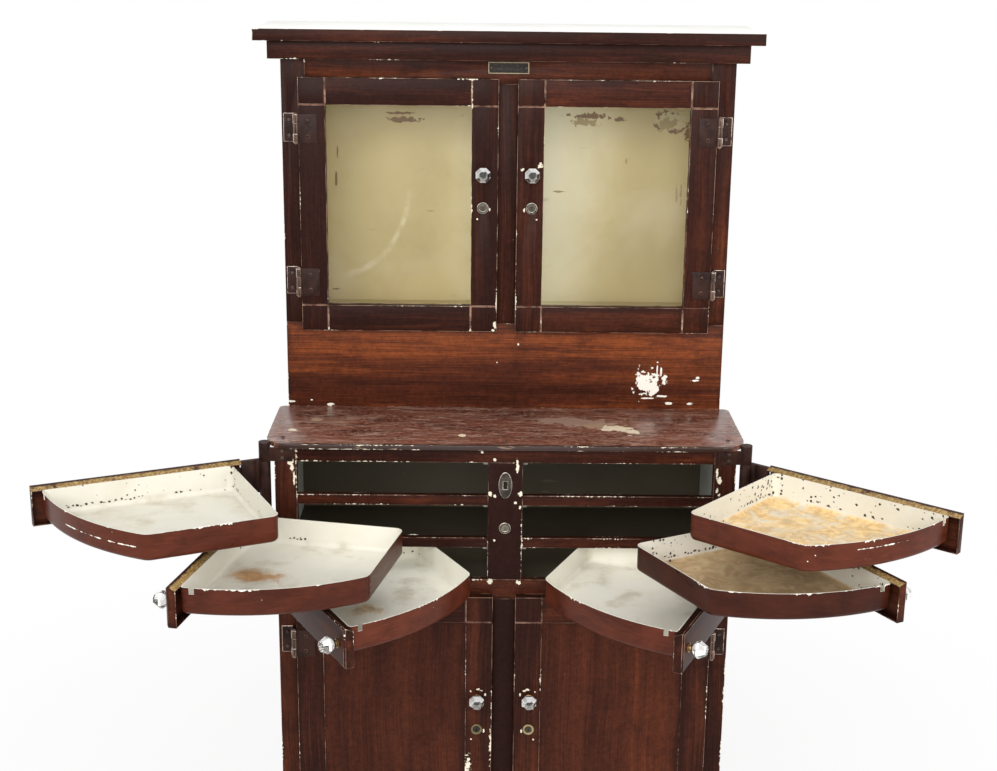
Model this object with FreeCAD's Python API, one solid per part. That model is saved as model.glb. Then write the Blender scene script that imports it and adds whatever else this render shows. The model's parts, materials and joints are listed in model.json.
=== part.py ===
import FreeCAD, Part
import math
import os

# Dental cabinet: a glazed hutch on a base with six swing-out trays and a cupboard.
# Millimetres, +Z up, the front faces -Y. The origin is on the floor, under the middle of the whole
# outline with the trays swung out, so the finished pieces shift a little to the right of the centre line
# that they are drawn about.
V = FreeCAD.Vector
UP = V(0, 0, 1)
ORIGIN = V(0, 0, 0)
SIDES = {"left": -1, "right": 1}
TRAY_ROWS = ("top", "middle", "bottom")

# Whole cabinet
body_width = 762.0
base_depth = 400.0
origin_setback = 21.0
origin_side_shift = 22.0
worktop_height = 850.0
worktop_run = 210.0
foot_height = 60.0
foot_top_width = 45.0
foot_sole_width = 36.0
wall_sheet = 1.2
frame_sheet = 1.6
overrun = 5.0

# Base front frame
post_width = 36.0
post_depth = 20.0
rail_depth = 12.0
top_rail_height = 25.0
tray_opening_height = 57.5
tray_rail_height = 17.3
bay_rail_height = 35.0
bottom_rail_height = 47.0
mullion_width = 57.0

# Worktop, a folded sheet with a turned-down edge
worktop_thickness = 8.0
worktop_sheet = 1.5
worktop_front_overhang = 12.0
worktop_side_overhang = 15.0
worktop_corner_radius = 45.0
worktop_rear_radius = 12.0
worktop_rear_gap = 0.2

# Tray pivots
pivot_outset = 16.0
pivot_setback = 2.6
rod_diameter = 9.5
rod_foot_length = 8.0
running_clearance = 0.06
tray_knuckle_diameter = 19.0
knuckle_gap = 0.4
bracket_leaf_sheet = 3.0
bracket_leaf_width = 33.0
bracket_leaf_edge_gap = 0.6
bottom_eye_height = 30.0

# Trays
pan_mullion_clearance = 9.5
pan_post_clearance = 2.0
pan_rim_clearance = 2.4
pan_height = 43.0
pan_depth = 255.0
pan_wall = 1.2
pan_bottom_radius = 8.0
pan_hinge_corner_radius = 12.0
pan_latch_corner_radius = 6.0
pan_bend_corner_radius = 22.0
pan_rear_corner_radius = 14.0
pan_notch_width = 8.0
pan_notch_depth = 10.0
pan_notch_setback = 14.0
front_frame_gap = 0.8
front_depth = 15.5
front_skin = 3.0
front_flange = 1.5
front_edge_lap = 3.2
front_post_lap = 14.0
front_mullion_lap = 7.0
front_chamfer = 2.6
front_rib_width = 8.0
front_rib_shares = (0.24, 0.78)
strap_end_gap = 1.5
strap_plate = 7.4
strap_tongue_plate = 3.0
strap_tongue_length = 44.0
strap_tongue_edge = 12.0
strap_inner_bend = 6.0
strap_bend_share = 0.2
tray_knob_end_inset = 26.0
left_top_angle = 155.3
left_middle_angle = 102.3
left_bottom_angle = 62.5
right_top_angle = 139.2
right_middle_angle = 118.0
right_bottom_angle = 65.7

# Tray catches, spring strips under the rails
catch_sheet = 1.0
catch_length = 28.0
catch_fixing_height = 8.0
catch_nose_width = 6.5
catch_nose_drop = 7.0
catch_side_gap = 0.8
catch_rim_gap = 0.5
catch_taper_run = 2.0

# Hutch
hutch_height = 634.0
hutch_stile_width = 40.0
hutch_frame_depth = 15.0
hutch_mullion_width = 52.0
hutch_opening_sill = 152.0
hutch_top_rail_height = 70.0
cornice_board_thickness = 19.4
cornice_board_front = 41.0
cornice_board_side = 40.0
cornice_sheet = 1.5
cornice_hole_margin = 40.0
frieze_height = 30.5
frieze_front = 21.8
frieze_side = 19.0

# Doors, all four alike in section
door_depth = 18.0
door_gap = 0.8
door_sheet = 1.5
door_back_strip = 1.2
door_stile_width = 45.0
door_overlap = 10.0
cupboard_door_post_overlap = 4.0
cupboard_door_mullion_overlap = 9.5
glass_thickness = 3.0
glass_lap = 8.0
panel_sheet = 1.5
panel_recess = 1.5
groove_width = 1.6
groove_depth = 0.8
knob_above_lock = 58.0
knob_edge_inset = 25.5

# Door hinges, offset leaves with a pin
hinge_height = 48.0
hinge_end_inset = 85.0
hinge_leaf_sheet = 2.0
hinge_frame_leaf_reach = 23.0
hinge_door_leaf_reach = 35.0
hinge_axis_outset = 4.0
hinge_knuckle_diameter = 8.0
hinge_pin_diameter = 4.0
hinge_tip_diameter = 6.4
hinge_knuckle_gap = 0.3
hinge_sweep_clearance = 0.6
hinge_riser_inset = 3.0
hinge_screw_spread = 26.0

# Glass knobs
knob_sides = 8
knob_diameter = 27.0
knob_neck_diameter = 13.0
knob_ferrule_diameter = 16.0
knob_ferrule_length = 7.0
knob_length = 21.0
knob_waist_share = 0.30
knob_crown_share = 0.62
knob_table_share = 0.60

# Locks
lock_case_diameter = 16.0
lock_flange_diameter = 20.0
lock_flange_sheet = 1.5
lock_plug_diameter = 11.0
lock_plug_proud = 0.6
lock_tongue_length = 24.0
lock_tongue_width = 9.0
lock_tongue_sheet = 2.0
lock_tongue_gap = 0.5
lock_case_end_gap = 0.2
keyway_width = 1.4
keyway_length = 6.4
keyway_depth = 4.0
mullion_lock_case_length = 10.0
mullion_lock_tongue_length = 20.0
mullion_lock_drop = 114.5

# Plates and screws
keyhole_plate_width = 23.0
keyhole_plate_height = 46.0
keyhole_plate_sheet = 1.5
keyhole_plate_drop = 39.0
keyhole_slot_width = 6.5
keyhole_slot_height = 13.0
nameplate_width = 70.0
nameplate_height = 21.0
nameplate_sheet = 1.0
nameplate_top_gap = 2.0
screw_head_diameter = 6.8
screw_crown_diameter = 4.4
screw_head_height = 1.8
screw_shank_diameter = 3.2
screw_shank_length = 6.0
screw_slot_width = 0.9
screw_slot_depth = 0.9
worktop_screw_length = 10.0
worktop_screw_side_inset = 12.0
worktop_screw_front_inset = 38.0
worktop_screw_rail_inset = 6.0
worktop_screw_rear_inset = 22.0
plate_screw_end_inset = 6.0

# Places worked out from the sizes above
half_width = body_width / 2
half_mullion = mullion_width / 2
half_hutch_mullion = hutch_mullion_width / 2
base_front = -origin_setback
base_back = base_front + base_depth
hutch_front = base_front + worktop_run
deck_top = worktop_height - worktop_thickness
post_inner = half_width - post_width
tray_zone_top = deck_top - top_rail_height
tray_pitch = tray_opening_height + tray_rail_height
tray_zone_bottom = tray_zone_top - len(TRAY_ROWS) * tray_pitch + tray_rail_height
cupboard_top = tray_zone_bottom - bay_rail_height
cupboard_bottom = foot_height + bottom_rail_height
hutch_top = worktop_height + hutch_height
hutch_sill = worktop_height + hutch_opening_sill
hutch_head = hutch_top - hutch_top_rail_height
stile_inner = half_width - hutch_stile_width
pivot_x = half_width + pivot_outset
pivot_y = base_front + pivot_setback
rod_radius = rod_diameter / 2
knuckle_radius = tray_knuckle_diameter / 2
tray_angles = {"left": (left_top_angle, left_middle_angle, left_bottom_angle),
               "right": (right_top_angle, right_middle_angle, right_bottom_angle)}
pan_reach = pivot_x - half_mullion - pan_mullion_clearance
pan_side = pivot_outset + post_width + pan_post_clearance
front_back = -pivot_setback - front_frame_gap
front_face = front_back - front_depth
pan_back = front_back + pan_depth
front_start = pivot_x - post_inner - front_post_lap
front_end = pivot_x - half_mullion + front_mullion_lap


def box(x0, x1, y0, y1, z0, z1):
    """A box between two corners."""
    return Part.makeBox(x1 - x0, y1 - y0, z1 - z0, V(x0, y0, z0))


def rod(radius, start, end):
    """A round bar from one point to another."""
    run = end - start
    return Part.makeCylinder(radius, run.Length, start, run)


def prism(points, rise):
    """A flat outline of straight sides, drawn out along a vector."""
    return Part.Face(Part.makePolygon(points + points[:1])).extrude(rise)


def channel(x0, x1, y0, y1, z0, z1, sheet):
    """A folded bar, open at its back, with closed ends."""
    hollow = box(x0 + sheet, x1 - sheet, y0 + sheet, y1 + overrun, z0 + sheet, z1 - sheet)
    return box(x0, x1, y0, y1, z0, z1).cut(hollow)


def mirrored(shapes):
    """The same pieces on the other side of the cabinet."""
    return [shape.mirror(ORIGIN, V(1, 0, 0)) for shape in shapes]


def both_sides(shapes):
    """A list of right-hand pieces with their left-hand twins."""
    return shapes + mirrored(shapes)


def screw(shank_length):
    """A slotted screw along +Z, its head seated on the XY plane."""
    head = Part.makeCone(screw_head_diameter / 2, screw_crown_diameter / 2, screw_head_height)
    shank = rod(screw_shank_diameter / 2, V(0, 0, -shank_length), ORIGIN)
    slot = box(-screw_head_diameter, screw_head_diameter, -screw_slot_width / 2, screw_slot_width / 2,
               screw_head_height - screw_slot_depth, screw_head_height + overrun)
    return head.fuse(shank).cut(slot).removeSplitter()


def placed(shape, at, outward):
    """A copy of a piece made along +Z, turned to face outward and set at a point."""
    copy = shape.copy()
    copy.Placement = FreeCAD.Placement(at, FreeCAD.Rotation(UP, outward)).multiply(shape.Placement)
    return copy


def screw_holes(places):
    """Bars where the shanks of a list of screws go through."""
    return [placed(rod(screw_shank_diameter / 2, V(0, 0, -length), V(0, 0, overrun)), at, outward)
            for at, outward, length in places]


def drilled(shapes, cutters):
    """The pieces with every cutter that reaches them taken away."""
    result = []
    for shape in shapes:
        near = [c for c in cutters if shape.BoundBox.intersect(c.BoundBox)]
        result.append(shape.cut(near) if near else shape)
    return result


def tray_opening_top(row):
    """Height of the top edge of one tray opening."""
    return tray_zone_top - row * tray_pitch


# Base carcass

def base_wall_panels():
    """Two sides and a back, each a flat sheet."""
    side = box(half_width - wall_sheet, half_width, base_front + post_depth, base_back - wall_sheet,
               foot_height, deck_top)
    back = box(-half_width, half_width, base_back - wall_sheet, base_back, foot_height, deck_top)
    return both_sides([side]) + [back]


def base_decks():
    """Cupboard floor, tray bay floor and top deck, notched round the front posts."""
    reach = half_width - wall_sheet
    levels = (foot_height, cupboard_top + bay_rail_height / 2, deck_top - wall_sheet)
    notch = box(post_inner, half_width, base_front, base_front + post_depth, 0, worktop_height)
    return [box(-reach, reach, base_front + rail_depth, base_back - wall_sheet, level,
                level + wall_sheet).cut(both_sides([notch])) for level in levels]


def base_front_frame():
    """Posts, rails and mullion as folded bars, with a flat strip between the cupboard doors."""
    front = base_front
    post = channel(post_inner, half_width, front, front + post_depth, foot_height, deck_top, frame_sheet)
    rail_back = front + rail_depth
    rails = []
    for row in range(1, len(TRAY_ROWS)):
        top = tray_opening_top(row) + tray_rail_height
        rails.append(channel(half_mullion, post_inner, front, rail_back, top - tray_rail_height, top,
                             frame_sheet))
    top_rail = channel(-post_inner, post_inner, front, rail_back, tray_zone_top, deck_top, frame_sheet)
    bay_rail = channel(-post_inner, post_inner, front, rail_back, cupboard_top, tray_zone_bottom,
                       frame_sheet)
    bottom_rail = channel(-post_inner, post_inner, front, rail_back, foot_height, cupboard_bottom,
                          frame_sheet)
    mullion = channel(-half_mullion, half_mullion, front, rail_back, tray_zone_bottom, tray_zone_top,
                      frame_sheet)
    strip = box(-half_mullion, half_mullion, front, front + frame_sheet, cupboard_bottom, cupboard_top)
    keyhole_slot = box(-keyhole_slot_width / 2, keyhole_slot_width / 2, front - overrun, rail_back,
                       keyhole_plate_height_middle - keyhole_slot_height / 2,
                       keyhole_plate_height_middle + keyhole_slot_height / 2)
    lock_hole = rod(lock_case_diameter / 2, V(0, front - overrun, mullion_lock_height),
                    V(0, rail_back, mullion_lock_height))
    return both_sides([post] + rails) + [top_rail, bay_rail, bottom_rail,
                                         mullion.cut([keyhole_slot, lock_hole]), strip]


def base_feet():
    """Four cast feet that taper towards the floor, flush with the outside of the base."""
    feet = []
    for front, inward in ((base_front, 1), (base_back, -1)):
        outlines = []
        for width, level in ((foot_sole_width, 0), (foot_top_width, foot_height)):
            corners = [V(half_width, front, level), V(half_width, front + inward * width, level),
                       V(half_width - width, front + inward * width, level),
                       V(half_width - width, front, level)]
            outlines.append(Part.makePolygon(corners + corners[:1]))
        feet.append(Part.makeLoft(outlines, True, True))
    return both_sides(feet)


def rounded_slab(x, front, back, z0, z1, front_radius, rear_radius):
    """A plate with rounded front and rear corners."""
    slab = box(-x, x, front, back, z0, z1)
    upright = [edge for edge in slab.Edges if edge.BoundBox.ZLength > (z1 - z0) / 2]
    front_edges = [edge for edge in upright if edge.BoundBox.YMax < (front + back) / 2]
    slab = slab.makeFillet(front_radius, front_edges)
    upright = [edge for edge in slab.Edges if edge.BoundBox.ZLength > (z1 - z0) / 2]
    rear_edges = [edge for edge in upright if edge.BoundBox.YMin > back - rear_radius]
    return slab.makeFillet(rear_radius, rear_edges)


def worktop():
    """The folded top in front of the hutch, hollow underneath."""
    reach = half_width + worktop_side_overhang
    front = base_front - worktop_front_overhang
    back = hutch_front - worktop_rear_gap
    outer = rounded_slab(reach, front, back, deck_top, worktop_height, worktop_corner_radius,
                         worktop_rear_radius)
    inner = rounded_slab(reach - worktop_sheet, front + worktop_sheet, back - worktop_sheet,
                         deck_top - overrun, worktop_height - worktop_sheet,
                         worktop_corner_radius - worktop_sheet, worktop_rear_radius - worktop_sheet)
    return [outer.cut(inner)]


# Tray pivots and catches

def bracket(bottom, top, leaf_bottom, leaf_top):
    """An eye round the pivot rod with a leaf on the front of the post."""
    eye = rod(knuckle_radius, V(pivot_x, pivot_y, bottom), V(pivot_x, pivot_y, top))
    leaf = box(half_width + bracket_leaf_sheet - bracket_leaf_width, pivot_x,
               base_front - bracket_leaf_sheet, base_front, leaf_bottom, leaf_top)
    bore = rod(rod_radius + running_clearance, V(pivot_x, pivot_y, bottom - overrun),
               V(pivot_x, pivot_y, top + overrun))
    return eye.fuse(leaf).cut(bore).removeSplitter()


def pivot_brackets():
    """An eye above and below each stack of tray knuckles."""
    gap = bracket_leaf_edge_gap
    upper = bracket(tray_zone_top + knuckle_gap, worktop_height, tray_zone_top + gap, deck_top - gap)
    lower = bracket(rod_bottom_eye, rod_bottom_eye + bottom_eye_height, rod_bottom_eye,
                    rod_bottom_eye + bottom_eye_height)
    return both_sides([upper, lower])


def pivot_rods():
    """The two upright rods that carry the trays."""
    return both_sides([rod(rod_radius, V(pivot_x, pivot_y, rod_bottom_eye - rod_foot_length),
                           V(pivot_x, pivot_y, worktop_height))])


def tray_catches():
    """A spring strip behind the rail at the free end of each tray, its nose beside the pan."""
    catches = []
    start = half_mullion + catch_side_gap
    nose = start + catch_nose_width
    back = base_front + rail_depth
    for row in range(len(TRAY_ROWS)):
        edge = tray_opening_top(row)
        above_rim = edge - pan_rim_clearance + catch_rim_gap
        outline = [V(start, back, edge + catch_fixing_height), V(start, back, edge - catch_nose_drop),
                   V(nose, back, edge - catch_nose_drop), V(nose + catch_taper_run, back, above_rim),
                   V(start + catch_length, back, edge),
                   V(start + catch_length, back, edge + catch_fixing_height)]
        catches.append(prism(outline, V(0, catch_sheet, 0)))
    return both_sides(catches)


# Trays, drawn closed about their pivot: u runs to the mullion, v to the back, z from the opening's top

def pan_outline(inset, level):
    """The pan's plan: a rectangle whose far corner is an arc about the pivot."""
    side, front, back = pan_side + inset, front_back + inset, pan_back - inset
    reach = pan_reach - inset
    start, end = math.asin(front / reach), math.asin(back / reach)
    middle = (start + end) / 2
    hinge_corner, rear_corner = V(side, front, level), V(side, back, level)
    latch_corner = V(reach * math.cos(start), front, level)
    bend_corner = V(reach * math.cos(end), back, level)
    on_arc = V(reach * math.cos(middle), reach * math.sin(middle), level)
    edges = [Part.LineSegment(hinge_corner, latch_corner).toShape(),
             Part.Arc(latch_corner, on_arc, bend_corner).toShape(),
             Part.LineSegment(bend_corner, rear_corner).toShape(),
             Part.LineSegment(rear_corner, hinge_corner).toShape()]
    radii = ((hinge_corner, pan_hinge_corner_radius), (latch_corner, pan_latch_corner_radius),
             (bend_corner, pan_bend_corner_radius), (rear_corner, pan_rear_corner_radius))
    return Part.Wire(edges), radii


def pan_form(inset, bottom, top):
    """A solid of the pan's plan with rounded corners and a rounded bottom edge."""
    wire, radii = pan_outline(inset, bottom)
    solid = Part.Face(wire).extrude(V(0, 0, top - bottom))
    for corner, radius in radii:
        upright = min((edge for edge in solid.Edges if edge.BoundBox.ZLength > (top - bottom) / 2),
                      key=lambda edge: (edge.CenterOfMass - corner).Length)
        solid = solid.makeFillet(radius - inset, [upright])
    floor_edges = [edge for edge in solid.Edges if edge.BoundBox.ZMax < (bottom + top) / 2]
    return solid.makeFillet(pan_bottom_radius - inset, floor_edges)


def tray_pan():
    """The enamelled pan, with the notch in its rim by the latch end."""
    rim = -pan_rim_clearance
    floor = rim - pan_height
    outer = pan_form(0, floor, rim)
    inner = pan_form(pan_wall, floor + pan_wall, rim + overrun)
    notch = box(pan_reach - overrun, pan_reach + overrun,
                front_back + pan_notch_setback, front_back + pan_notch_setback + pan_notch_width,
                rim - pan_notch_depth, rim + overrun)
    return outer.cut(inner).cut(notch)


def tray_front():
    """The folded front: a bevelled face, a top flange that slopes to the rim, ribs behind."""
    top, bottom = front_edge_lap, -tray_opening_height - front_edge_lap
    rim = -pan_rim_clearance
    bevel = front_chamfer
    outline = [V(front_start, front_back, bottom), V(front_start, front_face + bevel, bottom),
               V(front_start, front_face, bottom + bevel), V(front_start, front_face, top - bevel),
               V(front_start, front_face + bevel, top), V(front_start, front_back, rim)]
    body = prism(outline, V(front_end - front_start, 0, 0))
    skin_back = front_face + front_skin
    hollow_outline = [V(front_start, front_back + overrun, bottom + front_flange),
                      V(front_start, skin_back, bottom + front_flange),
                      V(front_start, skin_back, top - front_flange - front_skin),
                      V(front_start, front_back, rim - front_flange),
                      V(front_start, front_back + overrun, rim - front_flange)]
    hollow = prism(hollow_outline, V(front_end - front_start - front_flange, 0, 0))
    for end, inward in ((front_start, 1), (front_end, -1)):
        wedge = prism([V(end - inward * overrun, front_face - overrun, bottom - overrun),
                       V(end + inward * (bevel + overrun), front_face - overrun, bottom - overrun),
                       V(end - inward * overrun, front_face + bevel + overrun, bottom - overrun)],
                      V(0, 0, top - bottom + overrun + overrun))
        body = body.cut(wedge)
    body = body.cut(hollow)
    rib_foot = rim - pan_height + pan_bottom_radius
    for share in front_rib_shares:
        start = front_start + share * (front_end - front_start)
        rib = prism([V(start, skin_back, rib_foot), V(start, front_back, rib_foot),
                     V(start, front_back, rim - front_flange),
                     V(start, skin_back, top - front_flange - front_skin)], V(front_rib_width, 0, 0))
        body = body.fuse(rib)
    return body.removeSplitter()


def tray_hinge():
    """A knuckle on the rod and a bent strap round the post, with a tongue inside the front."""
    top, bottom = 0, -tray_opening_height
    outer = front_face + front_chamfer
    inner = outer + strap_plate
    end = front_start - strap_end_gap
    bend = knuckle_radius
    corner = V(-bend, outer + bend, bottom)
    square = math.sqrt(2) / 2
    on_bend = V(-bend * square, outer + bend - bend * square, bottom)
    front_corner, far_corner = V(0, outer, bottom), V(end, outer, bottom)
    back_corner = V(end, inner, bottom)
    inner_bend = V(knuckle_radius + strap_inner_bend, inner, bottom)
    at_knuckle = V(knuckle_radius * square, -knuckle_radius * square, bottom)
    sag = strap_inner_bend * strap_bend_share
    inner_middle = V((inner_bend.x + at_knuckle.x) / 2 - sag, (inner_bend.y + at_knuckle.y) / 2 - sag,
                     bottom)
    beside = V(-bend, 0, bottom)
    heart = V(0, 0, bottom)
    edges = [Part.LineSegment(heart, beside).toShape(),
             Part.LineSegment(beside, corner).toShape(),
             Part.Arc(corner, on_bend, front_corner).toShape(),
             Part.LineSegment(front_corner, far_corner).toShape(),
             Part.LineSegment(far_corner, back_corner).toShape(),
             Part.LineSegment(back_corner, inner_bend).toShape(),
             Part.Arc(inner_bend, inner_middle, at_knuckle).toShape(),
             Part.LineSegment(at_knuckle, heart).toShape()]
    strap = Part.Face(Part.Wire(edges)).extrude(V(0, 0, top - bottom))
    skin_back = front_face + front_skin
    tongue = box(end - strap_tongue_edge, front_start + strap_tongue_length, skin_back,
                 skin_back + strap_tongue_plate, bottom + strap_tongue_edge, top - strap_tongue_edge)
    low, high = V(0, 0, knuckle_gap - tray_pitch), ORIGIN
    knuckle = rod(knuckle_radius, low, high)
    bore = rod(rod_radius + running_clearance, low - UP * overrun, high + UP * overrun)
    return strap.fuse([tongue, knuckle]).cut(bore).removeSplitter()


def knob_form():
    """A ferrule with an eight-sided glass knob on it, along +Z from the seat."""
    base = knob_ferrule_length
    levels = ((base, knob_neck_diameter), (base + knob_waist_share * knob_length, knob_diameter),
              (base + knob_crown_share * knob_length, knob_diameter),
              (base + knob_length, knob_diameter * knob_table_share))
    outlines = []
    for level, width in levels:
        corners = [V(width / 2 * math.cos(math.tau * i / knob_sides),
                     width / 2 * math.sin(math.tau * i / knob_sides), level) for i in range(knob_sides)]
        outlines.append(Part.makePolygon(corners + corners[:1]))
    ferrule = Part.makeCone(knob_ferrule_diameter / 2, knob_neck_diameter / 2, knob_ferrule_length)
    return ferrule.fuse(Part.makeLoft(outlines, True, True)).removeSplitter()


def tray_knob():
    """The pull near the free end of a tray's front."""
    at = V(front_end - tray_knob_end_inset, front_face, -tray_opening_height / 2)
    return placed(knob_form(), at, V(0, -1, 0))


def tray_pieces(side, row):
    """The four pieces of one tray, swung out to its angle."""
    sign = SIDES[side]
    pieces = {"pan": tray_pan(), "front": tray_front(), "hinge": tray_hinge(), "knob": tray_knob()}
    at = V(sign * pivot_x, pivot_y, tray_opening_top(row))
    swing = FreeCAD.Placement(at, FreeCAD.Rotation(UP, sign * tray_angles[side][row]))
    result = {}
    for name, shape in pieces.items():
        shape = mirrored([shape])[0] if sign > 0 else shape.copy()
        shape.Placement = swing.multiply(shape.Placement)
        result[f"{side}_{TRAY_ROWS[row]}_tray_{name}"] = shape
    return result


# Hutch

def hutch_wall_panels():
    """Two sides and a back, each a flat sheet."""
    side = box(half_width - wall_sheet, half_width, hutch_front + hutch_frame_depth,
               base_back - wall_sheet, deck_top, hutch_top)
    back = box(-half_width, half_width, base_back - wall_sheet, base_back, deck_top, hutch_top)
    return both_sides([side]) + [back]


def hutch_decks():
    """The floor tucked under the sill, and the top."""
    reach = half_width - frame_sheet
    sill = hutch_sill - frame_sheet
    floor = box(-reach, reach, hutch_front + frame_sheet, base_back - wall_sheet, sill - wall_sheet, sill)
    top = box(-reach, reach, hutch_front + hutch_frame_depth, base_back - wall_sheet,
              hutch_top - wall_sheet, hutch_top)
    return [floor, top]


def hutch_front_frame():
    """Stiles and top rail as folded bars, the splash panel, and a flat mullion strip."""
    front, back = hutch_front, hutch_front + hutch_frame_depth
    splash = channel(-half_width, half_width, front, back, deck_top, hutch_sill, frame_sheet)
    stile = channel(stile_inner, half_width, front, back, hutch_sill, hutch_top, frame_sheet)
    top_rail = channel(-stile_inner, stile_inner, front, back, hutch_head, hutch_top, frame_sheet)
    strip = box(-half_hutch_mullion, half_hutch_mullion, front, front + frame_sheet, hutch_sill, hutch_head)
    return both_sides([stile]) + [splash, top_rail, strip]


def cornice():
    """The hollow top board and the frieze below it on three sides."""
    side, front = half_width + cornice_board_side, hutch_front - cornice_board_front
    top = hutch_top + cornice_board_thickness
    sheet = cornice_sheet
    board = box(-side, side, front, base_back, hutch_top, top)
    hollow = box(sheet - side, side - sheet, front + sheet, base_back - sheet, hutch_top + sheet, top - sheet)
    hole = box(cornice_hole_margin - half_width, half_width - cornice_hole_margin,
               hutch_front + cornice_hole_margin, base_back - cornice_hole_margin,
               hutch_top - overrun, hutch_top + sheet + overrun)
    low = hutch_top - frieze_height
    reach = half_width + frieze_side
    frieze = channel(-reach, reach, hutch_front - frieze_front, hutch_front, low, hutch_top, sheet)
    return_bar = box(half_width, reach, hutch_front, base_back, low, hutch_top)
    return_hollow = box(half_width - overrun, reach - sheet, hutch_front + sheet, base_back - sheet,
                        low + sheet, hutch_top - sheet)
    return [board.cut([hollow, hole]), frieze] + both_sides([return_bar.cut(return_hollow)])


# Doors, drawn on the right: x0 is the meeting edge, x1 the hinge edge, plane the frame they close on

class DoorPlan:
    """The outline of one right-hand door and the frame plane that it closes on."""

    def __init__(self, x0, x1, z0, z1, plane):
        self.x0, self.x1, self.z0, self.z1, self.plane = x0, x1, z0, z1, plane
        self.back = plane - door_gap
        self.front = self.back - door_depth
        self.strip = self.back - door_back_strip
        self.open_x0, self.open_x1 = x0 + door_stile_width, x1 - door_stile_width
        self.open_z0, self.open_z1 = z0 + door_stile_width, z1 - door_stile_width
        self.lock_x = x0 + knob_edge_inset
        self.lock_z = (z0 + z1) / 2
        self.axis_x = x1 + hinge_axis_outset
        self.axis_y = self.front - hinge_leaf_sheet
        self.hinge_levels = (z0 + hinge_end_inset, z1 - hinge_end_inset)


def door_members(door):
    """Two full-height stiles with two rails between them, as (x0, x1, z0, z1)."""
    return ((door.x0, door.open_x0, door.z0, door.z1), (door.open_x1, door.x1, door.z0, door.z1),
            (door.open_x0, door.open_x1, door.z0, door.open_z0),
            (door.open_x0, door.open_x1, door.open_z1, door.z1))


def door_grooves(door):
    """Scored lines that mark the corner squares on the face."""
    half, face = groove_width / 2, door.front
    grooves = []
    for x in (door.open_x0, door.open_x1):
        for low, high in ((door.z0, door.open_z0), (door.open_z1, door.z1)):
            grooves.append(prism([V(x - half, face, low), V(x + half, face, low),
                                  V(x, face + groove_depth, low)], V(0, 0, high - low)))
    for z in (door.open_z0, door.open_z1):
        for low, high in ((door.x0, door.open_x0), (door.open_x1, door.x1)):
            grooves.append(prism([V(low, face, z - half), V(low, face, z + half),
                                  V(low, face + groove_depth, z)], V(high - low, 0, 0)))
    return grooves


def door_glass(door):
    """The pane, held between the folded bars and the back strips."""
    return box(door.open_x0 - glass_lap, door.open_x1 + glass_lap, door.strip - glass_thickness, door.strip,
               door.open_z0 - glass_lap, door.open_z1 + glass_lap)


def door_panel(door):
    """The steel panel of a cupboard door, just behind the face."""
    face = door.front + panel_recess
    return box(door.open_x0, door.open_x1, face, face + panel_sheet, door.open_z0, door.open_z1)


def door_frame(door, pane):
    """Folded stiles and rails, with flat strips that close their backs."""
    hole = rod(lock_case_diameter / 2, V(door.lock_x, door.front - overrun, door.lock_z),
               V(door.lock_x, door.plane + overrun, door.lock_z))
    cutters = door_grooves(door) + [pane, hole]
    bars = [channel(x0, x1, door.front, door.strip, z0, z1, door_sheet)
            for x0, x1, z0, z1 in door_members(door)]
    strips = [box(x0, x1, door.strip, door.back, z0, z1) for x0, x1, z0, z1 in door_members(door)]
    return drilled(bars + strips, cutters)


def hinge_thirds(middle):
    """The two gaps between the three knuckles of a hinge at one level."""
    third = hinge_height / len(TRAY_ROWS)
    return middle - third / 2, middle + third / 2


def hinge_frame_leaf(door, middle):
    """A leaf on the frame, a riser beside the door, two knuckles and the pin."""
    low, high = middle - hinge_height / 2, middle + hinge_height / 2
    first, second = hinge_thirds(middle)
    radius = hinge_knuckle_diameter / 2
    riser_x = door.axis_x + hinge_riser_inset
    leaf = box(riser_x, door.axis_x + hinge_frame_leaf_reach, door.plane - hinge_leaf_sheet, door.plane,
               low, high)
    riser = box(riser_x, riser_x + hinge_leaf_sheet, door.axis_y, door.plane, low, high)
    knuckles = [rod(radius, V(door.axis_x, door.axis_y, a), V(door.axis_x, door.axis_y, b))
                for a, b in ((low, first - hinge_knuckle_gap), (second + hinge_knuckle_gap, high))]
    window = box(door.axis_x - radius - overrun, door.axis_x + radius + overrun,
                 door.axis_y - radius - overrun, door.axis_y + radius + hinge_sweep_clearance,
                 first - hinge_knuckle_gap, second + hinge_knuckle_gap)
    pin = rod(hinge_pin_diameter / 2, V(door.axis_x, door.axis_y, low), V(door.axis_x, door.axis_y, high))
    tips = [Part.makeSphere(hinge_tip_diameter / 2, V(door.axis_x, door.axis_y, z)) for z in (low, high)]
    return leaf.fuse([riser] + knuckles).cut(window).fuse([pin] + tips).removeSplitter()


def hinge_door_leaf(door, middle):
    """A leaf on the door's face with the middle knuckle and two screws."""
    low, high = middle - hinge_height / 2, middle + hinge_height / 2
    first, second = hinge_thirds(middle)
    radius = hinge_knuckle_diameter / 2
    leaf = box(door.axis_x - hinge_door_leaf_reach, door.x1 - hinge_sweep_clearance, door.axis_y, door.front,
               low, high)
    ear = box(door.x1 - hinge_sweep_clearance, door.axis_x, door.axis_y, door.front, first, second)
    knuckle = rod(radius, V(door.axis_x, door.axis_y, first), V(door.axis_x, door.axis_y, second))
    bore = rod(hinge_pin_diameter / 2 + running_clearance, V(door.axis_x, door.axis_y, low),
               V(door.axis_x, door.axis_y, high))
    heads = []
    for z in (middle - hinge_screw_spread / 2, middle + hinge_screw_spread / 2):
        at = V(door.axis_x - (hinge_door_leaf_reach + hinge_axis_outset) / 2, door.axis_y, z)
        heads.append(placed(screw(hinge_leaf_sheet), at, V(0, -1, 0)))
    return leaf.fuse([ear, knuckle]).cut(bore).fuse(heads).removeSplitter()


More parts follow.
